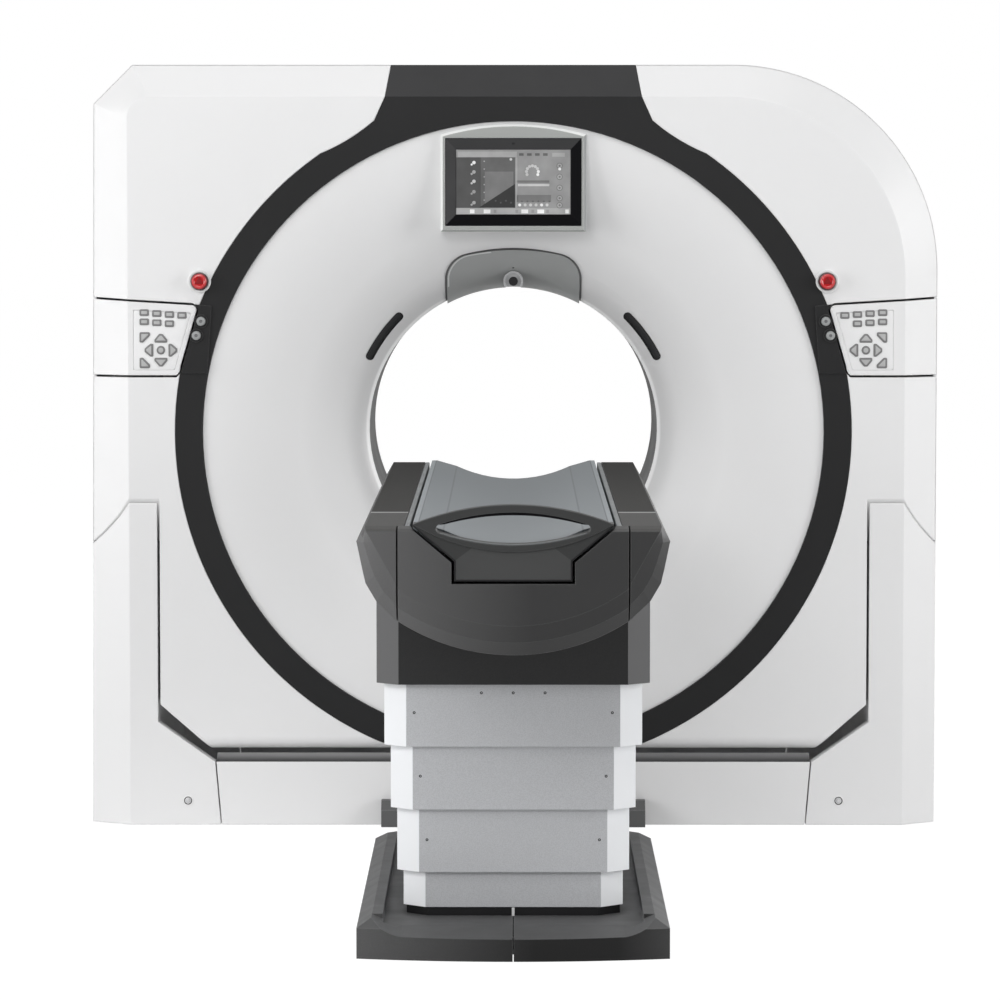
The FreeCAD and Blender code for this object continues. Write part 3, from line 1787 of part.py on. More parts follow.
# the table's heights, from its top down, and those of the cradle and its handle
waist_height = s.table_top - s.waist_drop
notch_height = s.table_top - s.notch_drop
flank_height = s.table_top - s.flank_drop
haunch_height = s.table_top - s.haunch_drop
hip_height = s.table_top - s.hip_drop
keel_height = s.table_top - s.keel_drop
cap_face_top = s.table_top - s.cap_face_drop
cap_low = s.table_top - s.cap_low_drop
cap_keel = s.table_top - s.cap_keel_drop
cradle_edge = s.table_top + s.cradle_over
cradle_lip = cradle_edge - s.cradle_edge_tall
cradle_dish = cradle_lip - s.cradle_trough
cradle_under = cradle_dish - s.cradle_floor
handle_tip = cradle_edge + s.handle_over
handle_top = handle_tip + s.handle_rise
handle_bottom = handle_tip - s.handle_fall
grip_top = handle_top - s.grip_top_wall
grip_bottom = handle_bottom + s.grip_low_wall
tongue_knee = handle_tip - s.tongue_knee_fall
tongue_bottom = handle_tip - s.tongue_fall
tongue_wing = handle_tip - s.tongue_wing_fall
frame_bottom = s.table_top - s.frame_drop
frame_top = frame_bottom + s.frame_rise


def table_frame():
    """Folded steel tray with its outriggers, the cradle's rails and the upper arm pivots."""
    body = sub_part("table_frame")
    near = s.cradle_near + s.frame_inset
    far = s.table_far - s.far_thick
    half = s.frame_half
    wall = s.frame_wall
    pad(body, "XY", [box(-half, near, half, far)], frame_bottom, frame_top)
    inside = box(-half + wall, near - wall, half - wall, far + wall)
    cut(body, "XY", [inside], frame_bottom, frame_top - wall)
    rigs = []
    for number in range(int(s.rig_count.number)):
        middle = near + s.rig_start + s.rig_pitch * number
        rigs.append(box(-s.inner_half, middle - s.rig_half, s.inner_half, middle + s.rig_half))
    pad(body, "XY", rigs, frame_top - wall, frame_top)
    rails = []
    for side in (-1, 1):
        middle = side * s.rail_half
        rails.append(box(middle - s.rail_wide / 2, near, middle + s.rail_wide / 2, far))
    pad(body, "XY", rails, frame_top, cradle_under - s.fit_gap)
    arm = s.arm_wide / 2
    start = s.arm_inner_half + s.arm_thick / 2 + s.fit_gap
    lug = [
        (pivot_y - arm, frame_top - wall / 2),
        (pivot_y - arm, pivot_top),
        Around(pivot_y, pivot_top),
        (pivot_y + arm, pivot_top),
        (pivot_y + arm, frame_top - wall / 2),
    ]
    pin = Disc(pivot_y, pivot_top, s.pin_radius)
    for side in (-1, 1):
        stop = start + s.lug_thick
        reach = start - s.arm_thick - s.fit_gap
        lug_span = (start, stop) if side > 0 else (-stop, -start)
        pin_span = (reach, start) if side > 0 else (-start, -reach)
        pad(body, "YZ", [lug], *lug_span)
        pad(body, "YZ", [pin], *pin_span)
    return body


def flank_points():
    """Outer flank of the table's cross-section, top to hip."""
    return [
        (s.edge_half, s.table_top),
        (s.waist_half, waist_height),
        (s.notch_half, notch_height),
        (s.flank_half, flank_height),
        (s.haunch_half, haunch_height),
        (s.hip_half, hip_height),
    ]


def face_points():
    """The near end's front face has a straight flank from its corner to its lower corner."""
    steps = 5
    run = s.cap_face_half - s.cap_low_half
    fall = cap_face_top - cap_low
    points = []
    for number in range(steps + 1):
        share = number / steps
        points.append((s.cap_face_half - run * share, cap_face_top - fall * share))
    return points


def band_points():
    """Edge between the two bands of the near end, midway between face and flank."""
    points = []
    for outer, inner in zip(flank_points(), face_points()):
        share = s.cap_band_share
        across = outer[0] * share + inner[0] * (1 - share)
        height = outer[1] * share + inner[1] * (1 - share)
        points.append((across, height))
    return points


def full_section(points, keel):
    """Closed cross-section from one flank's points and the depth of the keel."""
    right = list(points)
    left = [(-u, v) for u, v in right]
    return [*left, Bow(right[-1][1] - keel), *reversed(right)]


def near_end(body):
    """The near end of the table, which swells in two bands from its face to the full section."""
    band_keel = cap_keel * (1 - s.cap_band_share) + keel_height * s.cap_band_share
    band_y = s.table_near + s.cap_band_deep
    cap_back = s.table_near + s.cap_deep
    return loft(body, "XZ", [
        (full_section(face_points(), cap_keel), s.table_near),
        (full_section(band_points(), band_keel), band_y),
        (full_section(flank_points(), keel_height), cap_back),
    ])


def handle_notch(gap):
    """T-shaped outline under the handle's eye."""
    return [
        (-s.tongue_half - gap, tongue_bottom - gap),
        (s.tongue_half + gap, tongue_bottom - gap),
        (s.tongue_half + gap, tongue_knee - gap / 2),
        (s.handle_half + gap, tongue_wing - gap / 2),
        (s.handle_half + gap, handle_top),
        (-s.handle_half - gap, handle_top),
        (-s.handle_half - gap, tongue_wing - gap / 2),
        (-s.tongue_half - gap, tongue_knee - gap / 2),
    ]


def end_cover():
    """Middle of the near end, with the notch for the cradle's handle."""
    body = sub_part("table_end_cover")
    near_end(body)
    cap_back = s.table_near + s.cap_deep
    half = s.hip_half
    strip = box(-half, keel_height / 2, half, s.table_top * 2)
    keep_inside(body, strip, s.table_near, cap_back)
    cut(body, "XZ", [handle_notch(s.notch_gap)], s.table_near, cap_back)
    return body


def side_cover(label, side):
    """Dark side of the table top, closed along its whole length."""
    body = sub_part(label)
    near_end(body)
    cap_back = s.table_near + s.cap_deep
    seam = s.hip_half + s.cap_seam
    flank = [(side * u, v) for u, v in flank_points()]
    flank[-1] = (side * seam, hip_height)
    inner_low = hip_height + s.under_wall
    length = [
        *flank,
        (side * s.inner_half, inner_low),
        (side * s.inner_half, s.table_top),
    ]
    pad(body, "XZ", [length], cap_back, s.table_far)
    edge = s.hip_half + s.end_seam
    low, high = (edge, outer_top) if side > 0 else (-outer_top, -edge)
    strip = box(low, 0, high, outer_top)
    keep_inside(body, strip, s.table_near, cap_back)
    return body


def under_cover(label, near, far, closed=False):
    """Curved dark sheet under the table top; the far one has the plate that closes the end."""
    body = sub_part(label)
    drop = hip_height - keel_height
    wall = s.under_wall
    half = s.hip_half
    shape = [
        (-half, hip_height),
        Bow(drop),
        (half, hip_height),
        (half - wall, hip_height),
        Bow(wall - drop),
        (-half + wall, hip_height),
    ]
    pad(body, "XZ", [shape], near, far)
    if closed:
        pad(body, "XZ", [far_plate()], far - s.far_thick, far)
    return body


def far_plate():
    half = s.hip_half
    slot = s.inner_half - s.fit_gap
    return [
        (-half, hip_height),
        Bow(hip_height - keel_height),
        (half, hip_height),
        (slot, hip_height + s.under_wall),
        (slot, tongue_bottom - s.notch_gap),
        (-slot, tongue_bottom - s.notch_gap),
        (-slot, hip_height + s.under_wall),
    ]


def table_skirt():
    """Dark top section of the lifting column, cut to the underside of the table."""
    body = lifting_cover(
        "table_skirt", s.skirt_half, s.skirt_bottom, flank_height, s.cover_half
    )
    gap = s.fit_gap
    far = outer_half
    under = [
        (far, flank_height - gap),
        (s.flank_half + gap, flank_height - gap),
        (s.haunch_half + gap, haunch_height - gap),
        (s.hip_half + gap, hip_height - gap),
        Bow(keel_height - hip_height),
        (-s.hip_half - gap, hip_height - gap),
        (-s.haunch_half - gap, haunch_height - gap),
        (-s.flank_half - gap, flank_height - gap),
        (-far, flank_height - gap),
        (-far, outer_top),
        (far, outer_top),
    ]
    cut(body, "XZ", [under], 2 * s.table_near, s.table_far)
    return body


def cradle():
    """Patient couch: a shallow trough with flat edges."""
    body = sub_part("cradle")
    lip = s.cradle_lip_half
    half = s.cradle_half
    shape = [
        (-half, cradle_edge),
        (-half, cradle_lip),
        (-lip - s.cradle_rim, cradle_under),
        (lip + s.cradle_rim, cradle_under),
        (half, cradle_lip),
        (half, cradle_edge),
        (half - s.cradle_rim, cradle_edge),
        (lip, cradle_lip),
        Bow(cradle_dish - cradle_lip),
        (-lip, cradle_lip),
        (-half + s.cradle_rim, cradle_edge),
    ]
    pad(body, "XZ", [shape], s.cradle_near, s.table_far)
    return body


def cradle_handle():
    """Eye-shaped grip with the tongue that drops into the end cover's notch."""
    body = sub_part("cradle_handle")
    near = s.table_near
    half = s.handle_half
    eye = [
        (-half, handle_tip),
        Bow(handle_tip - handle_bottom),
        (half, handle_tip),
        Bow(handle_top - handle_tip),
    ]
    pad(body, "XZ", [eye], near, near + s.eye_deep)
    tongue = [
        (-s.tongue_half, tongue_bottom),
        (s.tongue_half, tongue_bottom),
        (s.tongue_half, tongue_knee),
        (half, tongue_wing),
        (half, handle_tip),
        (-half, handle_tip),
        (-half, tongue_wing),
        (-s.tongue_half, tongue_knee),
    ]
    pad(body, "XZ", [tongue], near + s.tongue_set_back, s.cradle_near)
    middle = (grip_top + grip_bottom) / 2
    end = s.grip_end
    grip = [
        (-s.grip_half, middle + end),
        Bow(s.grip_end_bow),
        (-s.grip_half, middle - end),
        Bow(middle - end - grip_bottom),
        (s.grip_half, middle - end),
        Bow(s.grip_end_bow),
        (s.grip_half, middle + end),
        Bow(grip_top - middle - end),
    ]
    cut(body, "XZ", [grip], near, s.cradle_near)
    return body


# ---------------------------------------------------------------- the object

def build_gantry():
    for name, side in (("left", -1), ("right", 1)):
        front_cover(f"front_cover_upper_{name}", side, True)
        front_cover(f"front_cover_lower_{name}", side, False)
        laser_window(f"laser_window_{name}", side)
        pod(f"control_pod_{name}", side)
        keypad(f"keypad_{name}", side)
        estop_button(f"estop_button_{name}", side)
        for level, place in zip(("upper", "lower"), knob_places(side)):
            knob(f"round_button_{level}_{name}", place)
    ring_trim()
    gantry_shell()
    belly_shell()
    rear_cover()
    funnel_cover()
    scan_window()
    monitor_frame()
    monitor_bezel()
    monitor_screen()
    window_panel()
    camera_lens()
    tilt_frame()
    main_bearing()


def build_rotor():
    rotor_drum()
    slip_ring()
    xray_tube()
    collimator()
    detector_arc()
    rotor_box("high_voltage_generator", -1)
    rotor_box("heat_exchanger", 1)


def build_stand():
    stand_frame()
    for name, side in (("left", -1), ("right", 1)):
        pillar_cover(f"pillar_cover_{name}", side)
        base_cover(f"base_cover_{name}", side)
    stand_panel("stand_panel_front", True)
    stand_panel("stand_panel_rear", False)
    docking_block()
    base_plate()


def build_lift():
    bottoms = [s.cover_1_bottom, s.cover_2_bottom, s.cover_3_bottom]
    for number, low in enumerate(bottoms, start=1):
        half = cover_halves[number - 1]
        lifting_cover(f"pedestal_cover_{number}", half, low, low + s.cover_tall, cover_halves[number])
    standing_cover()
    low = s.arm_pivot_low
    arm_pair("scissor_arms_outer", s.arm_outer_half, True, pivot_y, low, free_y, pivot_top)
    arm_pair("scissor_arms_inner", s.arm_inner_half, False, free_y, low, pivot_y, pivot_top)


def build_table():
    table_frame()
    for name, side in (("left", -1), ("right", 1)):
        side_cover(f"table_side_cover_{name}", side)
    end_cover()
    cap_back = s.table_near + s.cap_deep
    skin = s.cover_wall + s.fit_gap
    under_cover("under_cover_near", cap_back, s.pedestal_front + s.cover_wall)
    under_cover("under_cover_far", pedestal_back - skin, s.table_far, True)
    table_skirt()
    cradle()
    cradle_handle()


def check_all():
    """Stop on any object that failed, and on any sub-part that isn't one valid solid."""
    doc.recompute()
    for item in doc.Objects:
        if "Invalid" in item.State or "Error" in item.State:
            raise RuntimeError(f"{item.Name} failed: {item.State}")
    for item in sub_parts():
        if item.Shape.isNull() or not item.Shape.isValid() or len(item.Shape.Solids) != 1:
            raise RuntimeError(f"{item.Label} isn't one valid solid")


def sub_parts():
    return [item for item in doc.Objects if item.TypeId == "PartDesign::Body"]


build_gantry()
build_rotor()
build_stand()
build_lift()
build_table()
check_all()
os.makedirs("parts", exist_ok=True)
for item in sub_parts():
    item.Shape.exportStep(f"parts/{item.Label}.step")
print(len(sub_parts()), "sub-parts written")
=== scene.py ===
import json
import math

import bmesh
import bpy
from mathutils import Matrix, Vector


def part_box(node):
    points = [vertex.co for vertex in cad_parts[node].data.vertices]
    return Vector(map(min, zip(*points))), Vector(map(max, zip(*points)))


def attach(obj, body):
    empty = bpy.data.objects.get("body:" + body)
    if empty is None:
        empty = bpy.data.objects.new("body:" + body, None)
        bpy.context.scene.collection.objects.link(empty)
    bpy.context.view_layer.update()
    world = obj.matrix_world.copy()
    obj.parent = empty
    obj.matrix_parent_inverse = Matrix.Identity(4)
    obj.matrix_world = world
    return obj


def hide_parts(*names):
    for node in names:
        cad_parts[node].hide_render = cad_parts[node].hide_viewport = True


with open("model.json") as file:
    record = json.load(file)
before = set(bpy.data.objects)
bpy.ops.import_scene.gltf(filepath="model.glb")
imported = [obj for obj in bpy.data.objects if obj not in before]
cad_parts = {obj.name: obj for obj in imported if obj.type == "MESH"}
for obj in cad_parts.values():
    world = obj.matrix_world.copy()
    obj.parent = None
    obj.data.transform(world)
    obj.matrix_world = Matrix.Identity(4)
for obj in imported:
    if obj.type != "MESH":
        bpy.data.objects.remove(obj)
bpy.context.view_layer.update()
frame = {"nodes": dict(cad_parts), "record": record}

# Places and sizes are metres in the CAD model's frame: X across, Y away from the viewer, Z up.
FRONT = 0.745
ISO = 0.9455
FUNNEL_START, FUNNEL_RIM = 0.006, 0.7416
DISH_DEPTH, DISH_RADIUS, DISH_BOW = 0.112, 0.415, 0.0226
FUNNEL_DEPTH, BORE_RADIUS, LIP_BOW = 0.215, 0.350, 0.0133

# The grey panel over the bore, and the patient camera in it. The edges of the shadow gap round
# the panel and of the painted highlight on its left rim are each a shift outwards and a height
# over the funnel.
PANEL_HALF, PANEL_SHOULDER = 0.160, 1.3145
PANEL_CROWN_HALF, PANEL_CROWN, PANEL_BOW = 0.110, 1.369, 0.012
PANEL_DOT, PANEL_PROUD = 1.338, 0.0070
GAP_EDGES = ((-0.0005, 0.0076), (0.0045, 0.0006))
RIM_EDGES = ((-0.0055, 0.0077), (-0.0020, 0.0078))
RIM_END = -0.05
LENS_HEIGHT, LENS_GLASS = 1.305, 0.0113

# The right keypad: its mat, two rows of oblong keys, and the cross of keys below them.
MAT_CORNERS = [(0.7693, 1.231), (0.8085, 1.096), (0.9055, 1.096), (0.9055, 1.238)]
MAT_EASE = 0.006
KEY_ROWS = ((0.880, 0.850, 0.820, 0.790), (0.880, 0.850, 0.820))
KEY_TOP, KEY_DROP, KEY_SLOPE = 1.2325, 0.0219, 0.072
KEY_WIDE, KEY_TALL, KEY_SKIRT, KEY_EASE = 0.0225, 0.0160, 0.0042, 0.0040
PAD_PLACE = (0.8406, 1.143)
PAD_WIDE, PAD_TALL, PAD_REACH, PAD_BUTTON = 0.031, 0.021, 0.0285, 0.0105
PAD_CORNER, PAD_CORNER_OUT, PAD_CORNER_UP = 0.025, 0.0384, 0.0305

# The stop buttons' collars stand on raised pads of the covers.
STOP_PAD = FRONT - 0.008
RELIEF_REACH, RELIEF_EASE = 0.0115, 0.0020

# Fasteners, as places in front view.
SCREW_PLACES = {
    "pedestal_cover_1": [(0, 0.514), (-0.064, 0.514), (0.064, 0.514), (-0.199, 0.474),
                         (0.199, 0.474)],
    "pedestal_cover_2": [(-0.187, 0.344), (0.187, 0.344)],
    "pedestal_cover_3": [(-0.174, 0.213), (0.174, 0.213)],
}
LOCK_PLACE = (0.781, 0.061)

# The tongue under the cradle's handle, the handle's grip, and the rails beside the cradle.
TONGUE_TIP, TONGUE_SHOULDER = 0.186, 0.899
TONGUE_HALF, TONGUE_KNEE, TONGUE_LOW = 0.1095, 0.834, 0.797
TONGUE_SET_BACK, NOTCH_SHADOW_WIDE = 0.005, 0.003
HANDLE_LOW, HANDLE_MIDDLE = 0.852, 0.895
GRIP_HALF, GRIP_MIDDLE, GRIP_END, GRIP_TOP, GRIP_BOTTOM = 0.1375, 0.8945, 0.008, 0.925, 0.864
GRIP_SET_BACK, GRIP_DEPTH, LIP_TAPER = 0.0012, 0.012, 0.35
RAIL_WIDE, RAIL_EDGE = 0.0095, 0.0010
CHANNEL_TOP, CHANNEL_LOW, CHANNEL_TUCK = 0.016, 0.030, 0.0025
RAIL_NEAR, RAIL_FAR, RAIL_GAP = 0.014, 0.001, 0.0005

# Where finishes, painted shade, painted shadow and painted highlights change on one solid.
PLINTH_TOP, JOINT_LOW, JOINT_HIGH, JOINT_HALF = 0.0735, 0.0555, 0.0728, 0.0028
SILL_LOW, SILL_HIGH = 0.1545, 0.172
SADDLE_FOOT = 1.65
TABLE_SEAM, TABLE_NEAR, TABLE_FAR, TABLE_END = -1.2105, -1.605, 0.395, 0.05
BASE_HALF, TABLE_HALF = 0.345, 0.292
CREASE_HALF, STRIP_HALF = 0.130, 0.177


# ---------------------------------------------------------------- materials

# The spans of a noise texture's values that slow changes and speckles use, and the span of the
# cosine between the face's normal and the rounded one that counts as an edge for painted
# highlights.
SLOW = (0.3, 0.7)
SPECKLE = (0.4, 0.6)
EDGE_SPAN = (0.995, 0.93)

# Specular levels, the clear coat's roughness, and the display's half pixels to the metre.
NO_GLOSS, DULL, SATIN = 0.0, 0.22, 0.3
COAT_ROUGHNESS = 0.12
PIXEL_SCALE = 1400.0


class Shader:
    """A material with its node tree and a few shortcuts."""

    def __init__(self, name):
        self.material = bpy.data.materials.new(name)
        self.material.use_nodes = True
        self.tree = self.material.node_tree
        self.main = self.tree.nodes["Principled BSDF"]
        self.place = self.add("ShaderNodeTexCoord")

    def add(self, kind):
        return self.tree.nodes.new(kind)

    def link(self, start, end):
        self.tree.links.new(start, end)

    def axes(self, source="Object"):
        """Sockets X, Y and Z of the place, or of the normal, in the CAD model's frame."""
        split = self.add("ShaderNodeSeparateXYZ")
        self.link(self.place.outputs[source], split.inputs["Vector"])
        return split.outputs

    def noise(self, scale, detail=2.0, stretch=None):
        node = self.add("ShaderNodeTexNoise")
        node.inputs["Scale"].default_value = scale
        node.inputs["Detail"].default_value = detail
        source = self.place.outputs["Object"]
        if stretch:
            mapping = self.add("ShaderNodeMapping")
            mapping.inputs["Scale"].default_value = stretch
            self.link(source, mapping.inputs["Vector"])
            source = mapping.outputs["Vector"]
        self.link(source, node.inputs["Vector"])
        return node.outputs["Fac"]

    def ramp(self, value, span, low=0.0, high=1.0):
        """The value's span, mapped to low and high and held there outside it."""
        node = self.add("ShaderNodeMapRange")
        keys = ("From Min", "From Max", "To Min", "To Max")
        for key, number in zip(keys, (*span, low, high)):
            node.inputs[key].default_value = number
        self.link(value, node.inputs["Value"])
        return node.outputs["Result"]

    def math(self, operation, first, second=0.0):
        node = self.add("ShaderNodeMath")
        node.operation = operation
        for socket, value in zip(node.inputs, (first, second)):
            if isinstance(value, (int, float)):
                socket.default_value = value
            else:
                self.link(value, socket)
        return node.outputs["Value"]

    def away(self, value, middle):
        """How far the value is from the middle."""
        return self.math("ABSOLUTE", self.math("SUBTRACT", value, middle))

    def mix(self, factor, first, second):
        node = self.add("ShaderNodeMix")
        node.data_type = "RGBA"
        self.link(factor, node.inputs["Factor"])
        for socket, value in ((node.inputs[6], first), (node.inputs[7], second)):
            if isinstance(value, tuple):
                socket.default_value = (*value, 1.0)
            else:
                self.link(value, socket)
        return node.outputs[2]

    def speckled(self, tone, fine, amount, colour):
        return self.mix(self.ramp(fine, SPECKLE, 0.0, amount), tone, colour)

    def round_normal(self, radius):
        node = self.add("ShaderNodeBevel")
        node.samples = 4
        node.inputs["Radius"].default_value = radius
        return node.outputs["Normal"]

    def edge_mask(self, normal):
        """1 on a rounded edge, 0 on a flat face."""
        geometry = self.add("ShaderNodeNewGeometry")
        dot = self.add("ShaderNodeVectorMath")
        dot.operation = "DOT_PRODUCT"
        self.link(normal, dot.inputs[0])
        self.link(geometry.outputs["Normal"], dot.inputs[1])
        return self.ramp(dot.outputs["Value"], EDGE_SPAN)

    def bump(self, height, strength, distance, normal):
        node = self.add("ShaderNodeBump")
        node.inputs["Strength"].default_value = strength
        node.inputs["Distance"].default_value = distance
        self.link(height, node.inputs["Height"])
        if normal is not None:
            self.link(normal, node.inputs["Normal"])
        return node.outputs["Normal"]

    def settle(self, tone, fine, strength, depth, normal=None, rough=0.5, specular=0.5):
        """Join colour, bump, roughness and specular level to the shader."""
        self.link(tone, self.main.inputs["Base Color"])
        self.link(self.bump(fine, strength, depth, normal), self.main.inputs["Normal"])
        if isinstance(rough, float):
            self.main.inputs["Roughness"].default_value = rough
        else:
            self.link(rough, self.main.inputs["Roughness"])
        self.main.inputs["Specular IOR Level"].default_value = specular
        return self.material


def shade(colour, factor):
    return tuple(min(1.0, channel * factor) for channel in colour)


def grey(level):
    return (level, level, level)


def moulded(name, colour, rough=0.5, vary=0.05, grain=900.0, depth=0.00005, strength=0.2,
            rounding=0.0, edge=1.0, coat=0.0, specular=0.5):
    """Moulded plastic or paint: slow tone changes, scuffs, fine grain, painted edge highlights.
    """
    s = Shader(name)
    wide = s.ramp(s.noise(2.3, 4.0), SLOW)
    tone = s.mix(wide, shade(colour, 1 - vary), shade(colour, 1 + vary))
    normal = None
    if rounding:
        normal = s.round_normal(rounding)
        # Painted highlight: the rounded edges take a lighter copy of the colour.
        if edge != 1.0:
            tone = s.mix(s.edge_mask(normal), tone, shade(colour, edge))
    scuffs = s.ramp(s.noise(14.0, 6.0), SLOW, rough * 0.88, rough * 1.12)
    s.main.inputs["Coat Weight"].default_value = coat
    s.main.inputs["Coat Roughness"].default_value = COAT_ROUGHNESS
    return s.settle(tone, s.noise(grain), strength, depth, normal, scuffs, specular)


def lift_paint(name, face, corner):
    """Fine-textured powder coat; a painted highlight makes the chamfered corners a paler strip.
    """
    s = Shader(name)
    fine = s.noise(520.0)
    wide = s.ramp(s.noise(3.1, 3.0), SLOW)
    tone = s.mix(wide, shade(face, 0.97), shade(face, 1.03))
    tone = s.mix(s.ramp(fine, (0.4, 0.62), 0.0, 0.32), tone, shade(face, 0.62))
    # Painted highlight: faces turned half sideways, the chamfers, take the paler corner colour.
    facing = s.axes("Normal")
    lit_chamfer = s.math("MULTIPLY", s.math("ABSOLUTE", facing["X"]), s.math("ABSOLUTE", facing["Y"]))
    tone = s.mix(s.ramp(lit_chamfer, (0.2, 0.3)), tone, corner)
    rough = s.ramp(fine, SLOW, 0.42, 0.55)
    return s.settle(tone, fine, 0.3, 0.0002, s.round_normal(0.0012), rough, SATIN)


def metal(name, colour, rough, stretch):
    """Machined or painted steel with faint tool marks along one direction."""
    s = Shader(name)
    marks = s.noise(60.0, 5.0, stretch)
    tone = s.mix(s.ramp(marks, SLOW), shade(colour, 0.86), shade(colour, 1.12))
    s.main.inputs["Metallic"].default_value = 1.0
    worn = s.ramp(marks, SLOW, rough * 0.8, rough * 1.25)
    return s.settle(tone, marks, 0.15, 0.0002, s.round_normal(0.001), worn)


def sill_paint(name):
    """White sill under the tilting body, with painted shade that darkens it towards the gap it
    closes.
    """
    s = Shader(name)
    # Painted shade: dark at the bottom of the sill's rise, paler towards its top.
    rise = s.ramp(s.axes()["Z"], (SILL_LOW, SILL_HIGH))
    fine = s.noise(1400.0)
    tone = s.mix(rise, (0.045, 0.045, 0.047), (0.42, 0.42, 0.422))
    return s.settle(s.speckled(tone, fine, 0.1, grey(0.1)), fine, 0.2, 0.0001)


def table_roof_paint(name):
    """Tops of the table's side covers: two mouldings meeting at a seam, the near one paler;
    painted shade darkens the far one towards its end, and painted highlights lie on the seam and
    edges.
    """
    s = Shader(name)
    along = s.axes()["Y"]
    # Painted shade: the far moulding darkens towards its far end.
    far = s.mix(s.ramp(along, (TABLE_SEAM, TABLE_FAR)), (0.042, 0.041, 0.039),
                (0.022, 0.021, 0.020))
    near = s.ramp(along, (TABLE_SEAM - 0.001, TABLE_SEAM + 0.001), 1.0, 0.0)
    tone = s.mix(near, far, (0.105, 0.104, 0.102))
    # Painted highlight: a pale line along the seam.
    tone = s.mix(s.ramp(s.away(along, TABLE_SEAM), (0.010, 0.014), 1.0, 0.0), tone, grey(0.45))
    fine = s.noise(1000.0)
    normal = s.round_normal(0.002)
    # Painted highlight on the rounded edges.
    tone = s.mix(s.edge_mask(normal), tone, grey(0.11))
    tone = s.speckled(tone, fine, 0.25, grey(0.04))
    return s.settle(tone, fine, 0.35, 0.00015, normal, 0.7, 0.06)


def funnel_paint(name):
    """Satin white dish with painted shade that greys it towards the bore, and a painted highlight
    on the lip.
    """
    s = Shader(name)
    place = s.axes()
    across = s.math("POWER", place["X"], 2.0)
    up = s.math("POWER", s.math("SUBTRACT", place["Z"], ISO), 2.0)
    radius = s.math("POWER", s.math("ADD", across, up), 0.5)
    # Painted shade: greyer towards the bore.
    tone = s.mix(s.ramp(radius, (BORE_RADIUS, BORE_RADIUS + 0.16)), (0.60, 0.60, 0.603),
                 (0.78, 0.78, 0.783))
    # Painted highlight: a pale ring on the bore's lip.
    lip = s.ramp(radius, (BORE_RADIUS + 0.005, BORE_RADIUS + 0.009), 1.0, 0.0)
    tone = s.mix(lip, tone, (0.88, 0.88, 0.883))
    fine = s.noise(1400.0)
    tone = s.speckled(tone, fine, 0.06, (0.6, 0.6, 0.603))
    return s.settle(tone, fine, 0.2, 0.00008, s.round_normal(0.002), 0.45)


def side_lit_paint(name, half, left, middle, right):
    """Satin plastic: painted light and shade take its tone from left over middle to right across
    the part, and the rounded edges get a painted highlight.
    """
    s = Shader(name)
    across = s.axes()["X"]
    left, middle, right = (shade((1.0, 1.0, 1.01), level) for level in (left, middle, right))
    # Painted light and shade across the part: left, middle and right tones.
    tone = s.mix(s.ramp(across, (-half, half / 8)), left, middle)
    tone = s.mix(s.ramp(across, (half * 0.6, half)), tone, right)
    fine = s.noise(1000.0)
    normal = s.round_normal(0.002)
    # Painted highlight on the rounded edges.
    tone = s.mix(s.edge_mask(normal), tone, grey(0.15))
    tone = s.speckled(tone, fine, 0.2, middle)
    return s.settle(tone, fine, 0.35, 0.00015, normal, 0.5, 0.15)


def cradle_paint(name):
    """Satin carbon laminate: painted shading darkens it towards the far end, painted shade lies
    in the creases along the trough and the grooves by the edge strips, and the edge strips get a
    painted highlight.
    """
    s = Shader(name)
    place = s.axes()
    across = s.math("ABSOLUTE", place["X"])
    # Painted shading: paler at the near end, darker towards the far end.
    tone = s.mix(s.ramp(place["Y"], (TABLE_NEAR, TABLE_FAR)), (0.235, 0.255, 0.270),
                 (0.150, 0.167, 0.178))
    # Painted shade in the creases along the trough.
    crease = s.ramp(s.away(across, CREASE_HALF), (0.0008, 0.0024), 0.45, 0.0)
    tone = s.mix(crease, tone, (0.06, 0.065, 0.07))
    # Painted highlight on the edge strips, and painted shade in the grooves beside them.
    strip = s.ramp(across, (STRIP_HALF - 0.001, STRIP_HALF + 0.001), 0.0, 0.55)
    tone = s.mix(strip, tone, (0.36, 0.39, 0.41))
    groove = s.ramp(s.away(across, STRIP_HALF), (0.0006, 0.0018), 0.7, 0.0)
    tone = s.mix(groove, tone, (0.05, 0.055, 0.06))
    weave = s.noise(900.0)
    tone = s.speckled(tone, weave, 0.15, (0.09, 0.1, 0.105))
    return s.settle(tone, weave, 0.2, 0.0001, s.round_normal(0.002), 0.5, SATIN)


def screen_paint(name, level):
    """One tone of the display: a fine pixel grid under smooth glass."""
    s = Shader("screen_" + name)
    place = s.axes()
    rows, columns = (s.math("PINGPONG", s.math("MULTIPLY", place[axis], PIXEL_SCALE), 1.0)
                     for axis in ("Z", "X"))
    wide = s.ramp(s.noise(22.0), (0.35, 0.65))
    tone = s.mix(wide, grey(level * 0.9), grey(level * 1.1))
    grid = s.ramp(s.math("MULTIPLY", rows, columns), (0.0, 1.0), 0.0, 0.18)
    tone = s.mix(grid, tone, grey(level * 0.5))
    s.link(tone, s.main.inputs["Base Color"])
    s.main.inputs["Roughness"].default_value = 0.35
    s.main.inputs["Specular IOR Level"].default_value = 0.2
    return s.material
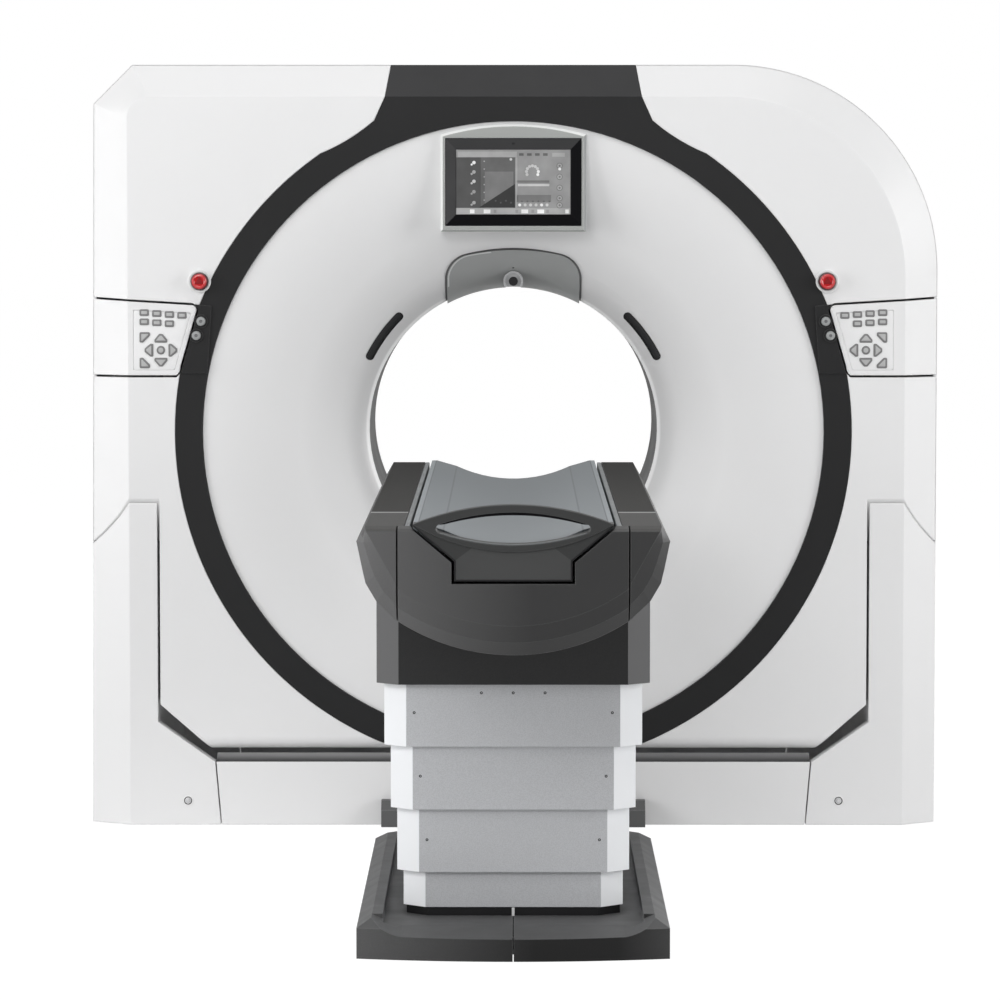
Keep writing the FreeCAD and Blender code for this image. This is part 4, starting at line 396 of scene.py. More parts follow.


# The finishes of the record's material slots. Depth and strength are the grain's bump, and
# edge is how much lighter the painted highlight makes the rounded edges.
SLOT_LOOKS = {
    "white_shell": dict(colour=(0.785, 0.785, 0.788), rough=0.38, vary=0.01, grain=1400.0,
                        depth=0.00008, rounding=0.004, edge=1.06, coat=0.1),
    "black_trim": dict(colour=(0.024, 0.024, 0.0245), rough=0.46, vary=0.08, grain=1100.0,
                       depth=0.0001, strength=0.3, rounding=0.002, edge=3.0, specular=0.08),
    "monitor_grey": dict(colour=(0.34, 0.35, 0.34), rough=0.4, vary=0.03, grain=1200.0,
                         depth=0.0001, rounding=0.003, edge=1.7),
    "bezel_black": dict(colour=(0.008, 0.008, 0.009), rough=0.34, vary=0.08, grain=1200.0,
                        depth=0.00008, rounding=0.001, edge=2.5, specular=DULL),
    "screen_glass": dict(colour=(0.14, 0.145, 0.15), rough=0.18, vary=0.1, grain=300.0,
                         depth=0.00002, strength=0.1),
    "panel_grey": dict(colour=(0.29, 0.297, 0.295), rough=0.44, vary=0.03, grain=1200.0,
                       depth=0.0001, strength=0.25, rounding=0.003, edge=1.4, specular=0.35),
    "lens_black": dict(colour=(0.36, 0.365, 0.37), rough=0.3, rounding=0.001, edge=1.8),
    "window_film": dict(colour=grey(0.10), rough=0.6, vary=0.03, grain=500.0, strength=0.1,
                        specular=0.1),
    "laser_smoke": dict(colour=(0.012, 0.012, 0.013), rough=0.25, vary=0.1, strength=0.1,
                        rounding=0.001, specular=SATIN),
    "keypad_rubber": dict(colour=(0.80, 0.80, 0.803), rough=0.55, vary=0.02, grain=1300.0,
                          depth=0.00008, strength=0.3, rounding=0.0008),
    "stop_red": dict(colour=(0.55, 0.005, 0.01), rough=0.22, vary=0.06, depth=0.00004,
                     strength=0.15, rounding=0.001, coat=0.6),
    "button_grey": dict(colour=(0.2, 0.205, 0.21), rough=0.35, rounding=0.001, edge=1.8),
    "frame_steel": dict(colour=(0.16, 0.17, 0.18), vary=0.08, grain=700.0, depth=0.0002,
                        strength=0.3, rounding=0.002, edge=1.4),
    "ring_insulator": dict(colour=(0.3, 0.19, 0.07), rough=0.45, vary=0.08, grain=500.0,
                           depth=0.0001, strength=0.3, rounding=0.001, edge=1.4),
    "housing_metal": dict(colour=(0.42, 0.43, 0.45), rough=0.4, grain=700.0, depth=0.0001,
                          strength=0.3, rounding=0.002, edge=1.3),
    "table_dark": dict(colour=grey(0.060), rough=0.56, vary=0.06, grain=1000.0, depth=0.00015,
                       strength=0.35, rounding=0.002, edge=2.2, specular=DULL),
    "base_dark": dict(colour=(0.100, 0.101, 0.102), rough=0.55, vary=0.02, grain=1000.0,
                      depth=0.00015, strength=0.35, rounding=0.003, edge=1.8, specular=SATIN),
    "handle_black": dict(colour=(0.042, 0.043, 0.043), vary=0.06, grain=1000.0, depth=0.00015,
                         strength=0.35, rounding=0.003, edge=2.2, specular=DULL),
}

# Finishes of small pieces and of single faces; several are painted shade, shadow or highlights.
PAINT_LOOKS = {
    "dull_black": dict(colour=(0.009, 0.009, 0.010), rough=0.8, vary=0.1, strength=0.1,
                       specular=NO_GLOSS),
    "ink": dict(colour=(0.010, 0.010, 0.011), rough=0.4, vary=0.1, specular=DULL),
    "seam": dict(colour=(0.080, 0.080, 0.081), rough=0.55, vary=0.1, specular=DULL),
    "rim_light": dict(colour=(0.55, 0.56, 0.56), rough=0.4),
    "key_skirt": dict(colour=grey(0.19), rough=0.55, grain=1300.0, depth=0.00008, strength=0.3,
                      specular=SATIN),
    "key_crown": dict(colour=grey(0.44), vary=0.04, grain=1300.0, depth=0.00008, strength=0.3),
    "stop_rim": dict(colour=(0.085, 0.004, 0.006), rough=0.3, vary=0.08, depth=0.00004,
                     strength=0.15, coat=0.4),
    "stop_floor": dict(colour=(0.50, 0.004, 0.008), vary=0.06, depth=0.00004, strength=0.15,
                       specular=SATIN),
    "stop_relief": dict(colour=(0.22, 0.002, 0.004), vary=0.06, depth=0.00004, strength=0.15,
                        specular=SATIN),
    "collar": dict(colour=grey(0.80), rough=0.35, vary=0.02, grain=1200.0, strength=0.15),
    "housing_highlight": dict(colour=(0.80, 0.81, 0.80), rough=0.35, vary=0.03, grain=1200.0,
                         depth=0.0001),
    "housing_shade": dict(colour=(0.30, 0.31, 0.31), rough=0.4, vary=0.03, grain=1200.0,
                        depth=0.0001),
    "tongue": dict(colour=(0.066, 0.067, 0.067), vary=0.06, grain=1000.0, depth=0.00015,
                   strength=0.35, specular=DULL),
    "saddle_chamfer_highlight": dict(colour=(0.042, 0.042, 0.043), grain=1100.0, depth=0.0001,
                           strength=0.3, specular=0.1),
    "rail_pale": dict(colour=(0.20, 0.21, 0.215), vary=0.06, depth=0.0001, specular=SATIN),
    "button_face": dict(colour=(0.30, 0.31, 0.31), rough=0.4),
    "button_eye": dict(colour=(0.13, 0.13, 0.135), rough=0.45),
    "screw": dict(colour=(0.085, 0.085, 0.09), rough=0.4, vary=0.1),
}

MATERIALS = {name: moulded(name, **look) for name, look in SLOT_LOOKS.items()}
MATERIALS.update({
    "machined_steel": metal("machined_steel", (0.55, 0.55, 0.56), 0.32, (1.0, 14.0, 1.0)),
    # The second colour of each lifting paint is the painted highlight on the chamfered corners.
    "skirt_dark": lift_paint("skirt_dark", (0.016, 0.016, 0.0165), (0.105, 0.105, 0.107)),
    "lift_cover_paint": lift_paint("lift_cover_paint", (0.61, 0.62, 0.64),
                                   (0.91, 0.925, 0.945)),
    "funnel_white": funnel_paint("funnel_white"),
    "cradle_carbon": cradle_paint("cradle_carbon"),
})
PAINT = {name: moulded(name, **look) for name, look in PAINT_LOOKS.items()}
PAINT.update({
    "sill_shade": sill_paint("sill_shade"),
    "table_roof": table_roof_paint("table_roof"),
    # Front faces of the base and of the table's end: painted light and shade from side to side.
    "base_front": side_lit_paint("base_front", BASE_HALF, 0.130, 0.015, 0.075),
    "table_end": side_lit_paint("table_end", TABLE_HALF, 0.150, 0.046, 0.050),
})


def dress_nodes():
    """Give each CAD node the material of its slot in the record."""
    for part in frame["record"]["subparts"]:
        node = frame["nodes"][part["node"]]
        node.data.materials.clear()
        node.data.materials.append(MATERIALS[part["material_slot"]])


dress_nodes()


# ---------------------------------------------------------------- mesh building

def ring_points(place, radius, steps):
    """A circle in front view, anticlockwise as seen from the front."""
    turns = [math.tau * step / steps for step in range(steps)]
    return [(place[0] + radius * math.cos(t), place[1] + radius * math.sin(t)) for t in turns]


def rounded(corners, radius, steps=5):
    """An outline whose corners are eased by this much."""
    points = []
    for index, corner in enumerate(corners):
        here = Vector(corner)
        before = Vector(corners[index - 1]) - here
        after = Vector(corners[(index + 1) % len(corners)]) - here
        reach = min(radius / math.tan(before.angle(after) / 2), before.length / 2.1,
                    after.length / 2.1)
        start = here + before.normalized() * reach
        end = here + after.normalized() * reach
        for step in range(steps + 1):
            t = step / steps
            points.append(tuple(start * (1 - t) ** 2 + here * 2 * t * (1 - t) + end * t * t))
    return points


def mirrored(outline, side):
    """The outline for side +1, or its mirror image for side -1, still anticlockwise."""
    if side > 0:
        return list(outline)
    return [(-x, z) for x, z in reversed(outline)]


def inset(outline, amount):
    """The outline moved inwards by this much."""
    moved = []
    for index, point in enumerate(outline):
        here = Vector(point)
        before = (here - Vector(outline[index - 1])).normalized()
        after = (Vector(outline[(index + 1) % len(outline)]) - here).normalized()
        inward = Vector((-before.y - after.y, before.x + after.x)).normalized()
        share = max(0.5, inward.dot(Vector((-before.y, before.x))))
        moved.append(tuple(here + inward * (amount / share)))
    return moved


def swollen(start, end, swell, steps=16):
    """Points of an arc from start to end that swells to the right of the way."""
    start, end = Vector(start), Vector(end)
    chord = end - start
    along = chord.normalized()
    right = Vector((along.y, -along.x))
    radius = (chord.length_squared / 4 + swell * swell) / (2 * swell)
    half = math.asin(chord.length / 2 / radius)
    middle = (start + end) / 2
    points = []
    for step in range(steps + 1):
        angle = half * (2 * step / steps - 1)
        lift = radius * math.cos(angle) - (radius - swell)
        points.append(tuple(middle + along * radius * math.sin(angle) + right * lift))
    return points


class Form:
    """A mesh in the making; its parts are told apart by material number."""

    def __init__(self):
        self.mesh = bmesh.new()

    def join(self, rings, paint, closed=True):
        """Quads between neighbouring rings of vertices."""
        for low, high in zip(rings, rings[1:]):
            count = len(low)
            for index in range(count if closed else count - 1):
                after = (index + 1) % count
                face = self.mesh.faces.new((low[index], low[after], high[after], high[index]))
                face.material_index = paint

    def stack(self, outline, levels, paint=0, back=True):
        """Rise from the back to the front: each level gives an inset and a place along Y."""
        rings = []
        for amount, depth in levels:
            shape = inset(outline, amount) if amount else outline
            rings.append([self.mesh.verts.new((x, depth, z)) for x, z in shape])
        self.join(rings, paint)
        self.mesh.faces.new(rings[-1]).material_index = paint
        if back:
            self.mesh.faces.new(list(reversed(rings[0]))).material_index = paint

    def turned(self, place, profile, steps, hollow=False):
        """A turned form about an axis along Y; the profile gives radius, Y and material."""
        rings = []
        for radius, depth, _ in profile:
            circle = ring_points(place, radius, steps)
            rings.append([self.mesh.verts.new((x, depth, z)) for x, z in circle])
        paints = [paint for _, _, paint in profile]
        for index in range(len(rings) - 1):
            self.join(rings[index:index + 2], paints[index + 1])
        if hollow:
            self.join([rings[-1], rings[0]], paints[0])
            return
        self.mesh.faces.new(rings[-1]).material_index = paints[-1]
        self.mesh.faces.new(list(reversed(rings[0]))).material_index = paints[0]

    def ribbon(self, inner, outer):
        """A strip between two open lines of points in space."""
        rows = [[self.mesh.verts.new(point) for point in line] for line in (inner, outer)]
        self.join(rows, 0, closed=False)

    def bar(self, section, near, far):
        """A bar along Y; the section gives X, Z and the material of the side before it."""
        rings = [[self.mesh.verts.new((x, depth, z)) for x, z, _ in section]
                 for depth in (near, far)]
        for index in range(len(section)):
            after = (index + 1) % len(section)
            corners = (rings[0][index], rings[0][after], rings[1][after], rings[1][index])
            self.mesh.faces.new(corners).material_index = section[after][2]
        for ring in rings:
            self.mesh.faces.new(ring)

    def finish(self, name, materials, body, smooth=35.0):
        """The piece itself, riding on its body; edges sharper than smooth stay sharp."""
        bmesh.ops.recalc_face_normals(self.mesh, faces=self.mesh.faces)
        data = bpy.data.meshes.new(name)
        self.mesh.to_mesh(data)
        self.mesh.free()
        for material in materials:
            data.materials.append(material)
        data.shade_smooth()
        data.set_sharp_from_angle(angle=math.radians(smooth))
        piece = bpy.data.objects.new(name, data)
        bpy.context.scene.collection.objects.link(piece)
        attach(piece, body)
        return piece


def paint_faces(node, material, chosen):
    """Give the faces of a CAD node whose centre and normal are chosen another material."""
    data = frame["nodes"][node].data
    data.materials.append(material)
    number = len(data.materials) - 1
    for face in data.polygons:
        if chosen(face.center, face.normal):
            face.material_index = number


# ---------------------------------------------------------------- funnel, screen and panel

# Depth behind the gantry's front and radius along the funnel's face, from its rim to the bore.
CREST = (DISH_DEPTH, DISH_RADIUS)
FUNNEL_LINE = (swollen((FUNNEL_START, FUNNEL_RIM), CREST, DISH_BOW)
               + swollen(CREST, (FUNNEL_DEPTH, BORE_RADIUS), LIP_BOW)[1:])


def on_funnel(x, z, proud):
    """A point of the funnel's face in front view, lifted towards the viewer."""
    radius = math.hypot(x, z - ISO)
    for (deep_a, wide_a), (deep_b, wide_b) in zip(FUNNEL_LINE, FUNNEL_LINE[1:]):
        if wide_a >= radius >= wide_b:
            share = (wide_a - radius) / (wide_a - wide_b)
            return (x, FRONT + deep_a + (deep_b - deep_a) * share - proud, z)
    end = 0 if radius > FUNNEL_RIM else -1
    return (x, FRONT + FUNNEL_LINE[end][0] - proud, z)


# The display's tones, and the height of one layer of it over the next.
SCREEN_LAYER = 0.0002
SCREEN_TONES = {
    "deep": 0.035,
    "dark": 0.085,
    "shade": 0.125,
    "field": 0.19,
    "pale": 0.30,
    "bar": 0.40,
    "light": 0.58,
    "bright": 0.86,
}


def make_display():
    """A plain made-up layout: two bars, a column of dots, a plot, a gauge and some rows."""
    low, high = (Vector(corner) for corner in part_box("monitor_screen"))
    names = list(SCREEN_TONES)
    form = Form()

    def spot(u, v):
        return (low.x + (high.x - low.x) * u, high.z - (high.z - low.z) * v)

    def area(outline, tone, layer):
        face = low.y - SCREEN_LAYER * layer
        levels = [(0, face + SCREEN_LAYER), (0, face)]
        form.stack(outline, levels, names.index(tone), back=False)

    def plate(u_low, v_low, u_high, v_high, tone, layer=2):
        corners = [(u_low, v_high), (u_high, v_high), (u_high, v_low), (u_low, v_low)]
        area([spot(u, v) for u, v in corners], tone, layer)

    def dot(u, v, radius, tone, layer=3):
        area(ring_points(spot(u, v), radius, 16), tone, layer)

    plate(0.0, 0.0, 1.0, 1.0, "pale", 1)
    plate(0.015, 0.03, 0.53, 0.115, "bar")
    plate(0.0, 0.12, 0.215, 0.90, "dark")
    plate(0.215, 0.12, 0.235, 0.90, "shade")
    plate(0.235, 0.12, 0.515, 0.90, "shade")
    plate(0.25, 0.34, 0.50, 0.90, "field", 3)
    area([spot(0.20, 0.895), spot(0.515, 0.895), spot(0.515, 0.53)], "deep", 4)
    for step in range(4):
        dot(0.345 + 0.045 * step, 0.79 + 0.03 * (step % 2), 0.0022, "dark", 5)
    for row in range(6):
        dot(0.245, 0.18 + 0.12 * row, 0.0016, "bar", 4)
    plate(0.52, 0.12, 0.535, 0.90, "bar", 3)
    icons = ((0.2, "bright"), (0.345, "bar"), (0.49, "light"), (0.65, "pale"), (0.82, "bar"))
    for place, tone in icons:
        dot(0.155, place, 0.0042, tone)
        dot(0.135, place + 0.03, 0.0026, tone)
    dot(0.478, 0.15, 0.0032, "light", 4)
    for column in range(4):
        plate(0.55 + 0.07 * column, 0.055, 0.59 + 0.07 * column, 0.095, "shade", 3)
    plate(0.84, 0.05, 0.95, 0.11, "bar", 3)
    plate(0.53, 0.475, 0.815, 0.51, "field", 3)
    plate(0.54, 0.53, 0.815, 0.565, "light", 3)
    plate(0.53, 0.70, 0.83, 0.81, "field", 3)
    for step in range(6):
        dot(0.555 + 0.048 * step, 0.855, 0.0036, "bright" if step in (0, 4) else "light", 4)
        dot(0.575 + 0.048 * step, 0.80, 0.0022, "shade", 4)
    for step in range(9):
        turn = math.radians(205 - 230 * step / 8)
        across = 0.667 + 0.052 * math.cos(turn)
        down = 0.345 - 0.095 * math.sin(turn)
        dot(across, down, 0.0036, "bright" if step > 6 else "light", 3)
    for place in (0.25, 0.42, 0.59, 0.75, 0.86):
        dot(0.905, place, 0.0074, "field")
        dot(0.905, place, 0.0056, "bar", 4)
        dot(0.905, place, 0.0026, "field", 5)
    dot(0.905, 0.30, 0.0034, "bright", 6)
    plate(0.0, 0.905, 1.0, 1.0, "bar")
    for place, wide in ((0.14, 0.04), (0.27, 0.06), (0.60, 0.06), (0.74, 0.06), (0.97, 0.03)):
        plate(place - wide / 2, 0.925, place + wide / 2, 0.985, "bright", 3)
    for place in (0.34, 0.53, 0.67, 0.80):
        plate(place - 0.012, 0.93, place + 0.012, 0.98, "pale", 3)
    materials = [screen_paint(name, level) for name, level in SCREEN_TONES.items()]
    form.finish("display_layout", materials, "gantry")


def make_bezel_eye():
    """Small light sensor in the middle of the bezel's upper slope."""
    low, high = (Vector(corner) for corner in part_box("monitor_bezel"))
    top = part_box("monitor_screen")[1][2]
    place = (0.0, (top + high.z) / 2)
    middle = (low.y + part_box("monitor_frame")[0][1]) / 2
    form = Form()
    form.turned(place, [(0.0032, middle + 0.003, 0), (0.0032, middle - 0.0006, 0),
                        (0.0026, middle - 0.0011, 0), (0.0012, middle - 0.0012, 1)], 20)
    form.finish("bezel_sensor", [PAINT["dull_black"], PAINT["ink"]], "gantry")


def panel_outline():
    """The grey panel's edge in front view, from its lower right corner over the crown."""
    foot = ISO + math.sqrt(BORE_RADIUS ** 2 - PANEL_HALF ** 2)
    flank = [(PANEL_HALF, foot + (PANEL_SHOULDER - foot) * step / 8) for step in range(8)]
    crown_right, crown_left = (PANEL_CROWN_HALF, PANEL_CROWN), (-PANEL_CROWN_HALF, PANEL_CROWN)
    right = flank + swollen((PANEL_HALF, PANEL_SHOULDER), crown_right, PANEL_BOW)
    left = [(-x, z) for x, z in reversed(right)]
    return right + swollen(crown_right, crown_left, PANEL_BOW)[1:-1] + left


def make_panel_seam():
    """Shadow gap round the grey panel, a painted highlight along its left rim, and its microphone
    hole.
    """
    line = panel_outline()
    middle = Vector((0.0, ISO + BORE_RADIUS))

    def moved(points, shift, proud):
        """The points, shifted away from the panel's middle and lifted off the funnel."""
        spots = [Vector(point) for point in points]
        spots = [spot + (spot - middle).normalized() * shift for spot in spots]
        return [on_funnel(x, z, proud) for x, z in spots]

    form = Form()
    form.ribbon(*(moved(line, *edge) for edge in GAP_EDGES))
    form.finish("panel_seam", [PAINT["seam"]], "gantry")
    # Painted highlight along the panel's left rim.
    rim = Form()
    left = [point for point in line if point[0] < RIM_END]
    rim.ribbon(*(moved(left, *edge) for edge in RIM_EDGES))
    rim.finish("panel_edge_light", [PAINT["rim_light"]], "gantry")
    place = (0.0, PANEL_DOT)
    depth = on_funnel(*place, PANEL_PROUD)[1]
    hole = Form()
    hole.turned(place, [(0.0022, depth + 0.002, 0), (0.0022, depth - 0.0004, 0),
                        (0.0012, depth - 0.0005, 0)], 16)
    hole.finish("panel_microphone", [PAINT["ink"]], "gantry")


# ---------------------------------------------------------------- hand controls

def key_shapes():
    """Corners of the right pod's keys, anticlockwise."""
    keys = []
    for row, places in enumerate(KEY_ROWS):
        for across in places:
            height = KEY_TOP - KEY_DROP * row + (across - KEY_ROWS[0][0]) * KEY_SLOPE
            low, high = height - KEY_TALL / 2, height + KEY_TALL / 2
            left, right = across - KEY_WIDE / 2, across + KEY_WIDE / 2
            keys.append([(left, low), (right, low), (right, high), (left, high)])
    x, z = PAD_PLACE
    wide, tall = PAD_WIDE / 2, PAD_TALL / 2
    arrow = [(-wide, -tall), (wide, -tall), (wide, -tall / 3), (wide / 4, tall),
             (-wide / 4, tall), (-wide, -tall / 3)]
    for turn in range(4):
        angle = math.radians(90 * turn)
        corners = []
        for u, v in arrow:
            v += PAD_REACH
            corners.append((
                x + u * math.cos(angle) - v * math.sin(angle),
                z + u * math.sin(angle) + v * math.cos(angle),
            ))
        keys.append(corners)
    half = PAD_CORNER / 2
    for up in (1, -1):
        centre = (x + PAD_CORNER_OUT, z + up * PAD_CORNER_UP)
        corners = [
            (centre[0] + half, centre[1] + up * half),
            (centre[0] - half, centre[1] + up * half),
            (centre[0] - half, centre[1] + up * half / 3),
            (centre[0] + half / 3, centre[1] - up * half),
            (centre[0] + half, centre[1] - up * half),
        ]
        keys.append(corners if up > 0 else corners[::-1])
    keys.append(ring_points(PAD_PLACE, PAD_BUTTON, 12))
    return keys


def make_keypad(label, side):
    """Pale rubber mat with domed keys: a darker skirt round a pale crown on each."""
    form = Form()
    mat = mirrored(rounded(MAT_CORNERS, MAT_EASE), side)
    form.stack(mat, [(0, FRONT + 0.0019), (0, FRONT + 0.0001), (0.002, FRONT - 0.0003)], 0)
    for key in key_shapes():
        corners = mirrored(key, side)
        form.stack(rounded(corners, KEY_EASE), [
            (0, FRONT),
            (0, FRONT - 0.0014),
            (0.0005, FRONT - 0.0021),
            (0.0012, FRONT - 0.0024),
        ], 1, back=False)
        form.stack(rounded(inset(corners, KEY_SKIRT), KEY_EASE / 2), [
            (0, FRONT - 0.0022),
            (0.0004, FRONT - 0.0028),
            (0.0010, FRONT - 0.0030),
        ], 2, back=False)
    paints = [MATERIALS["keypad_rubber"], PAINT["key_skirt"], PAINT["key_crown"]]
    piece = form.finish("keypad_mat_" + label, paints, "gantry", 50.0)
    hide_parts("keypad_" + label)


def middle_of(node):
    """A button's middle in front view, and the places of its face and its back along Y."""
    low, high = (Vector(corner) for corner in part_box(node))
    return ((low.x + high.x) / 2, (low.z + high.z) / 2), low.y, high.y


def make_stop_button(label):
    """Red cap with a dark rim, a bright ring and a three-sided relief, and its pale collar."""
    node = "estop_button_" + label
    place, face, back = middle_of(node)
    form = Form()
    form.turned(place, [
        (0.0100, back, 0),
        (0.0100, face + 0.0121, 0),
        (0.0188, face + 0.0121, 0),
        (0.0207, face + 0.0105, 0),
        (0.0209, face + 0.0078, 0),
        (0.0203, face + 0.0058, 0),
        (0.0190, face + 0.0044, 0),
        (0.0178, face + 0.0040, 0),
        (0.0172, face + 0.0022, 1),
        (0.0155, face + 0.0008, 1),
        (0.0132, face + 0.0004, 1),
        (0.0112, face + 0.0014, 1),
        (0.0100, face + 0.0026, 2),
        (0.0040, face + 0.0030, 2),
    ], 56)
    corners = []
    for turn in range(3):
        angle = math.radians(90 + 120 * turn)
        corners.append((place[0] + RELIEF_REACH * math.cos(angle),
                        place[1] + RELIEF_REACH * math.sin(angle)))
    form.stack(rounded(corners, RELIEF_EASE), [
        (0, face + 0.0030),
        (0.0002, face + 0.0006),
        (0.0008, face + 0.0001),
    ], 3, back=False)
    paints = [PAINT["stop_rim"], MATERIALS["stop_red"], PAINT["stop_floor"], PAINT["stop_relief"]]
    cap = form.finish("stop_cap_" + label, paints, "estop_" + label, 28.0)
    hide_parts(node)
    seat = Form()
    seat.turned(place, [
        (0.0272, STOP_PAD + 0.0040, 0),
        (0.0272, STOP_PAD - 0.0002, 0),
        (0.0262, STOP_PAD - 0.0012, 0),
        (0.0226, STOP_PAD - 0.0014, 0),
        (0.0216, STOP_PAD - 0.0009, 0),
        (0.0213, STOP_PAD - 0.0001, 1),
        (0.0106, STOP_PAD - 0.0001, 1),
        (0.0106, STOP_PAD + 0.0040, 0),
    ], 56, hollow=True)
    seat.finish("stop_collar_" + label, [PAINT["collar"], PAINT["seam"]], "gantry")


def make_round_button(level, label):
    """Grey push button with a small eye, and a dull dark ring round it as painted shadow."""
    name = level + "_" + label
    node = "round_button_" + name
    place, face, back = middle_of(node)
    form = Form()
    form.turned(place, [
        (0.0108, back, 0),
        (0.0108, face + 0.0022, 0),
        (0.0100, face + 0.0008, 0),
        (0.0082, face + 0.0001, 0),
        (0.0040, face, 0),
        (0.0032, face + 0.0008, 1),
        (0.0020, face + 0.0009, 1),
    ], 36)
    shadow_ring = Form()
    # Painted shadow: the dark ring is moved a little right and down.
    middle = (place[0] + 0.0006, place[1] - 0.0008)
    shadow_ring.turned(middle, [(0.0152, FRONT + 0.0004, 0), (0.0152, FRONT - 0.0002, 0),
                           (0.0120, FRONT - 0.0003, 0), (0.0120, FRONT + 0.0004, 0)],
                  36, hollow=True)
    shadow_ring.finish("button_shadow_" + name, [PAINT["dull_black"]], "gantry")
    paints = [PAINT["button_face"], PAINT["button_eye"]]
    button = form.finish("push_button_" + name, paints, "round_button_" + name)
    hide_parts(node)


def make_controls():
    for label, side in (("left", -1), ("right", 1)):
        make_keypad(label, side)
        make_stop_button(label)
        for level in ("upper", "lower"):
            make_round_button(level, label)


# ---------------------------------------------------------------- fasteners and seams

def make_screws():
    """Flush screws on the lifting covers' front faces."""
    for body, places in SCREW_PLACES.items():
        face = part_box(body)[0][1]
        form = Form()
        for place in places:
            form.turned(place, [
                (0.0030, face + 0.0008, 0),
                (0.0030, face - 0.0001, 0),
                (0.0026, face - 0.0002, 0),
                (0.0012, face - 0.0002, 1),
                (0.0010, face + 0.0001, 1),
            ], 20)
        form.finish("screws_" + body, [PAINT["screw"], PAINT["ink"]], body)


def make_cover_locks():
    """Quarter-turn lock of each pillar cover: a pale collar round a dished dark head."""
    for label, side in (("left", -1), ("right", 1)):
        form = Form()
        place = (side * LOCK_PLACE[0], LOCK_PLACE[1])
        form.turned(place, [
            (0.0125, FRONT + 0.0006, 0),
            (0.0125, FRONT - 0.0010, 0),
            (0.0112, FRONT - 0.0018, 0),
            (0.0098, FRONT - 0.0016, 0),
            (0.0092, FRONT - 0.0002, 1),
            (0.0060, FRONT + 0.0002, 1),
            (0.0050, FRONT - 0.0014, 2),
            (0.0020, FRONT - 0.0020, 2),
        ], 32)
        paints = [PAINT["collar"], PAINT["ink"], MATERIALS["machined_steel"]]
        form.finish("cover_lock_" + label, paints, "stand")


def make_plinth_joint():
    """Pale joint strip in the middle of the plinth under the lowest cover, painted dark as
    shadow.
    """
    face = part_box("pedestal_cover_4")[0][1]
    form = Form()
    outline = rounded([(-JOINT_HALF, JOINT_LOW), (JOINT_HALF, JOINT_LOW),
                       (JOINT_HALF, JOINT_HIGH), (-JOINT_HALF, JOINT_HIGH)], 0.0006, 2)
    form.stack(outline, [(0, face + 0.003), (0, face + 0.0004), (0.0004, face)])
    form.finish("plinth_joint", [PAINT["collar"]], "stand")


def make_rails():
    """Pale guide rail and dark channel that close the gap on each side of the cradle."""
    (_, near, _), (inner, far, _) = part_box("cradle")
    cover_low, cover_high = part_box("table_side_cover_right")
    outer, top = cover_low[0] - RAIL_GAP, cover_high[2] - RAIL_GAP
    section = [
        (outer, top - CHANNEL_LOW, 0),
        (inner + CHANNEL_TUCK, top - CHANNEL_LOW, 0),
        (inner + CHANNEL_TUCK, top - CHANNEL_TOP, 0),
        (outer - RAIL_WIDE, top - CHANNEL_TOP, 0),
        (outer - RAIL_WIDE, top - RAIL_EDGE, 1),
        (outer - RAIL_WIDE + RAIL_EDGE, top, 1),
        (outer - RAIL_EDGE, top, 1),
        (outer, top - RAIL_EDGE, 1),
    ]
    for label, side in (("left", -1), ("right", 1)):
        form = Form()
        form.bar([(side * x, z, paint) for x, z, paint in section], near - RAIL_NEAR,
                 far - RAIL_FAR)
        form.finish("cradle_rail_" + label, [PAINT["ink"], PAINT["rail_pale"]], "table")


def make_tongue_shadow():
    """Painted shadow: a black strip along the edge of the tongue under the handle, in the notch's
    shade.
    """
    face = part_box("cradle_handle")[0][1] + TONGUE_SET_BACK

    def line(edge, proud):
        """The tongue's edge from tip to tip, moved inwards by edge."""
        tip, half = TONGUE_TIP - edge, TONGUE_HALF - edge
        right = [(half, TONGUE_LOW + edge), (half, TONGUE_KNEE + edge / 2),
                 (tip, TONGUE_SHOULDER)]
        left = [(-x, z) for x, z in reversed(right)]
        return [(x, face - proud, z) for x, z in left + right]

    form = Form()
    form.ribbon(line(NOTCH_SHADOW_WIDE, 0.0006), line(0.0, 0.0002))
    form.finish("tongue_notch_shadow", [PAINT["ink"]], "cradle")


def make_grip_liner():
    """Painted shadow under the upper edge and a painted highlight on the lower lip, inside the
    grip.
    """
    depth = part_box("cradle_handle")[0][1] + GRIP_SET_BACK
    half, rise = GRIP_HALF, GRIP_MIDDLE + GRIP_END
    low_end = GRIP_MIDDLE - GRIP_END
    upper = swollen((half, rise), (-half, rise), GRIP_TOP - rise, 32)
    lower = swollen((-half, low_end), (half, low_end), low_end - GRIP_BOTTOM, 32)
    for name, line, wide, paint in (("grip_upper_shadow", upper, 0.0050, "dull_black"),
                                    ("grip_lower_highlight", lower, 0.0016, "rail_pale")):
        inner = []
        for x, z in line:
            share = max(0.0, 1.0 - abs(x) / half) ** LIP_TAPER
            inner.append((x - math.copysign(0.0014, x), depth,
                          z - math.copysign(wide * share + 0.0002, z - GRIP_MIDDLE)))
        form = Form()
        form.ribbon(inner, [(x, depth, z) for x, z in line])
        form.ribbon([(x, depth + GRIP_DEPTH, z) for x, _, z in inner], inner)
        form.finish(name, [PAINT[paint]], "cradle")


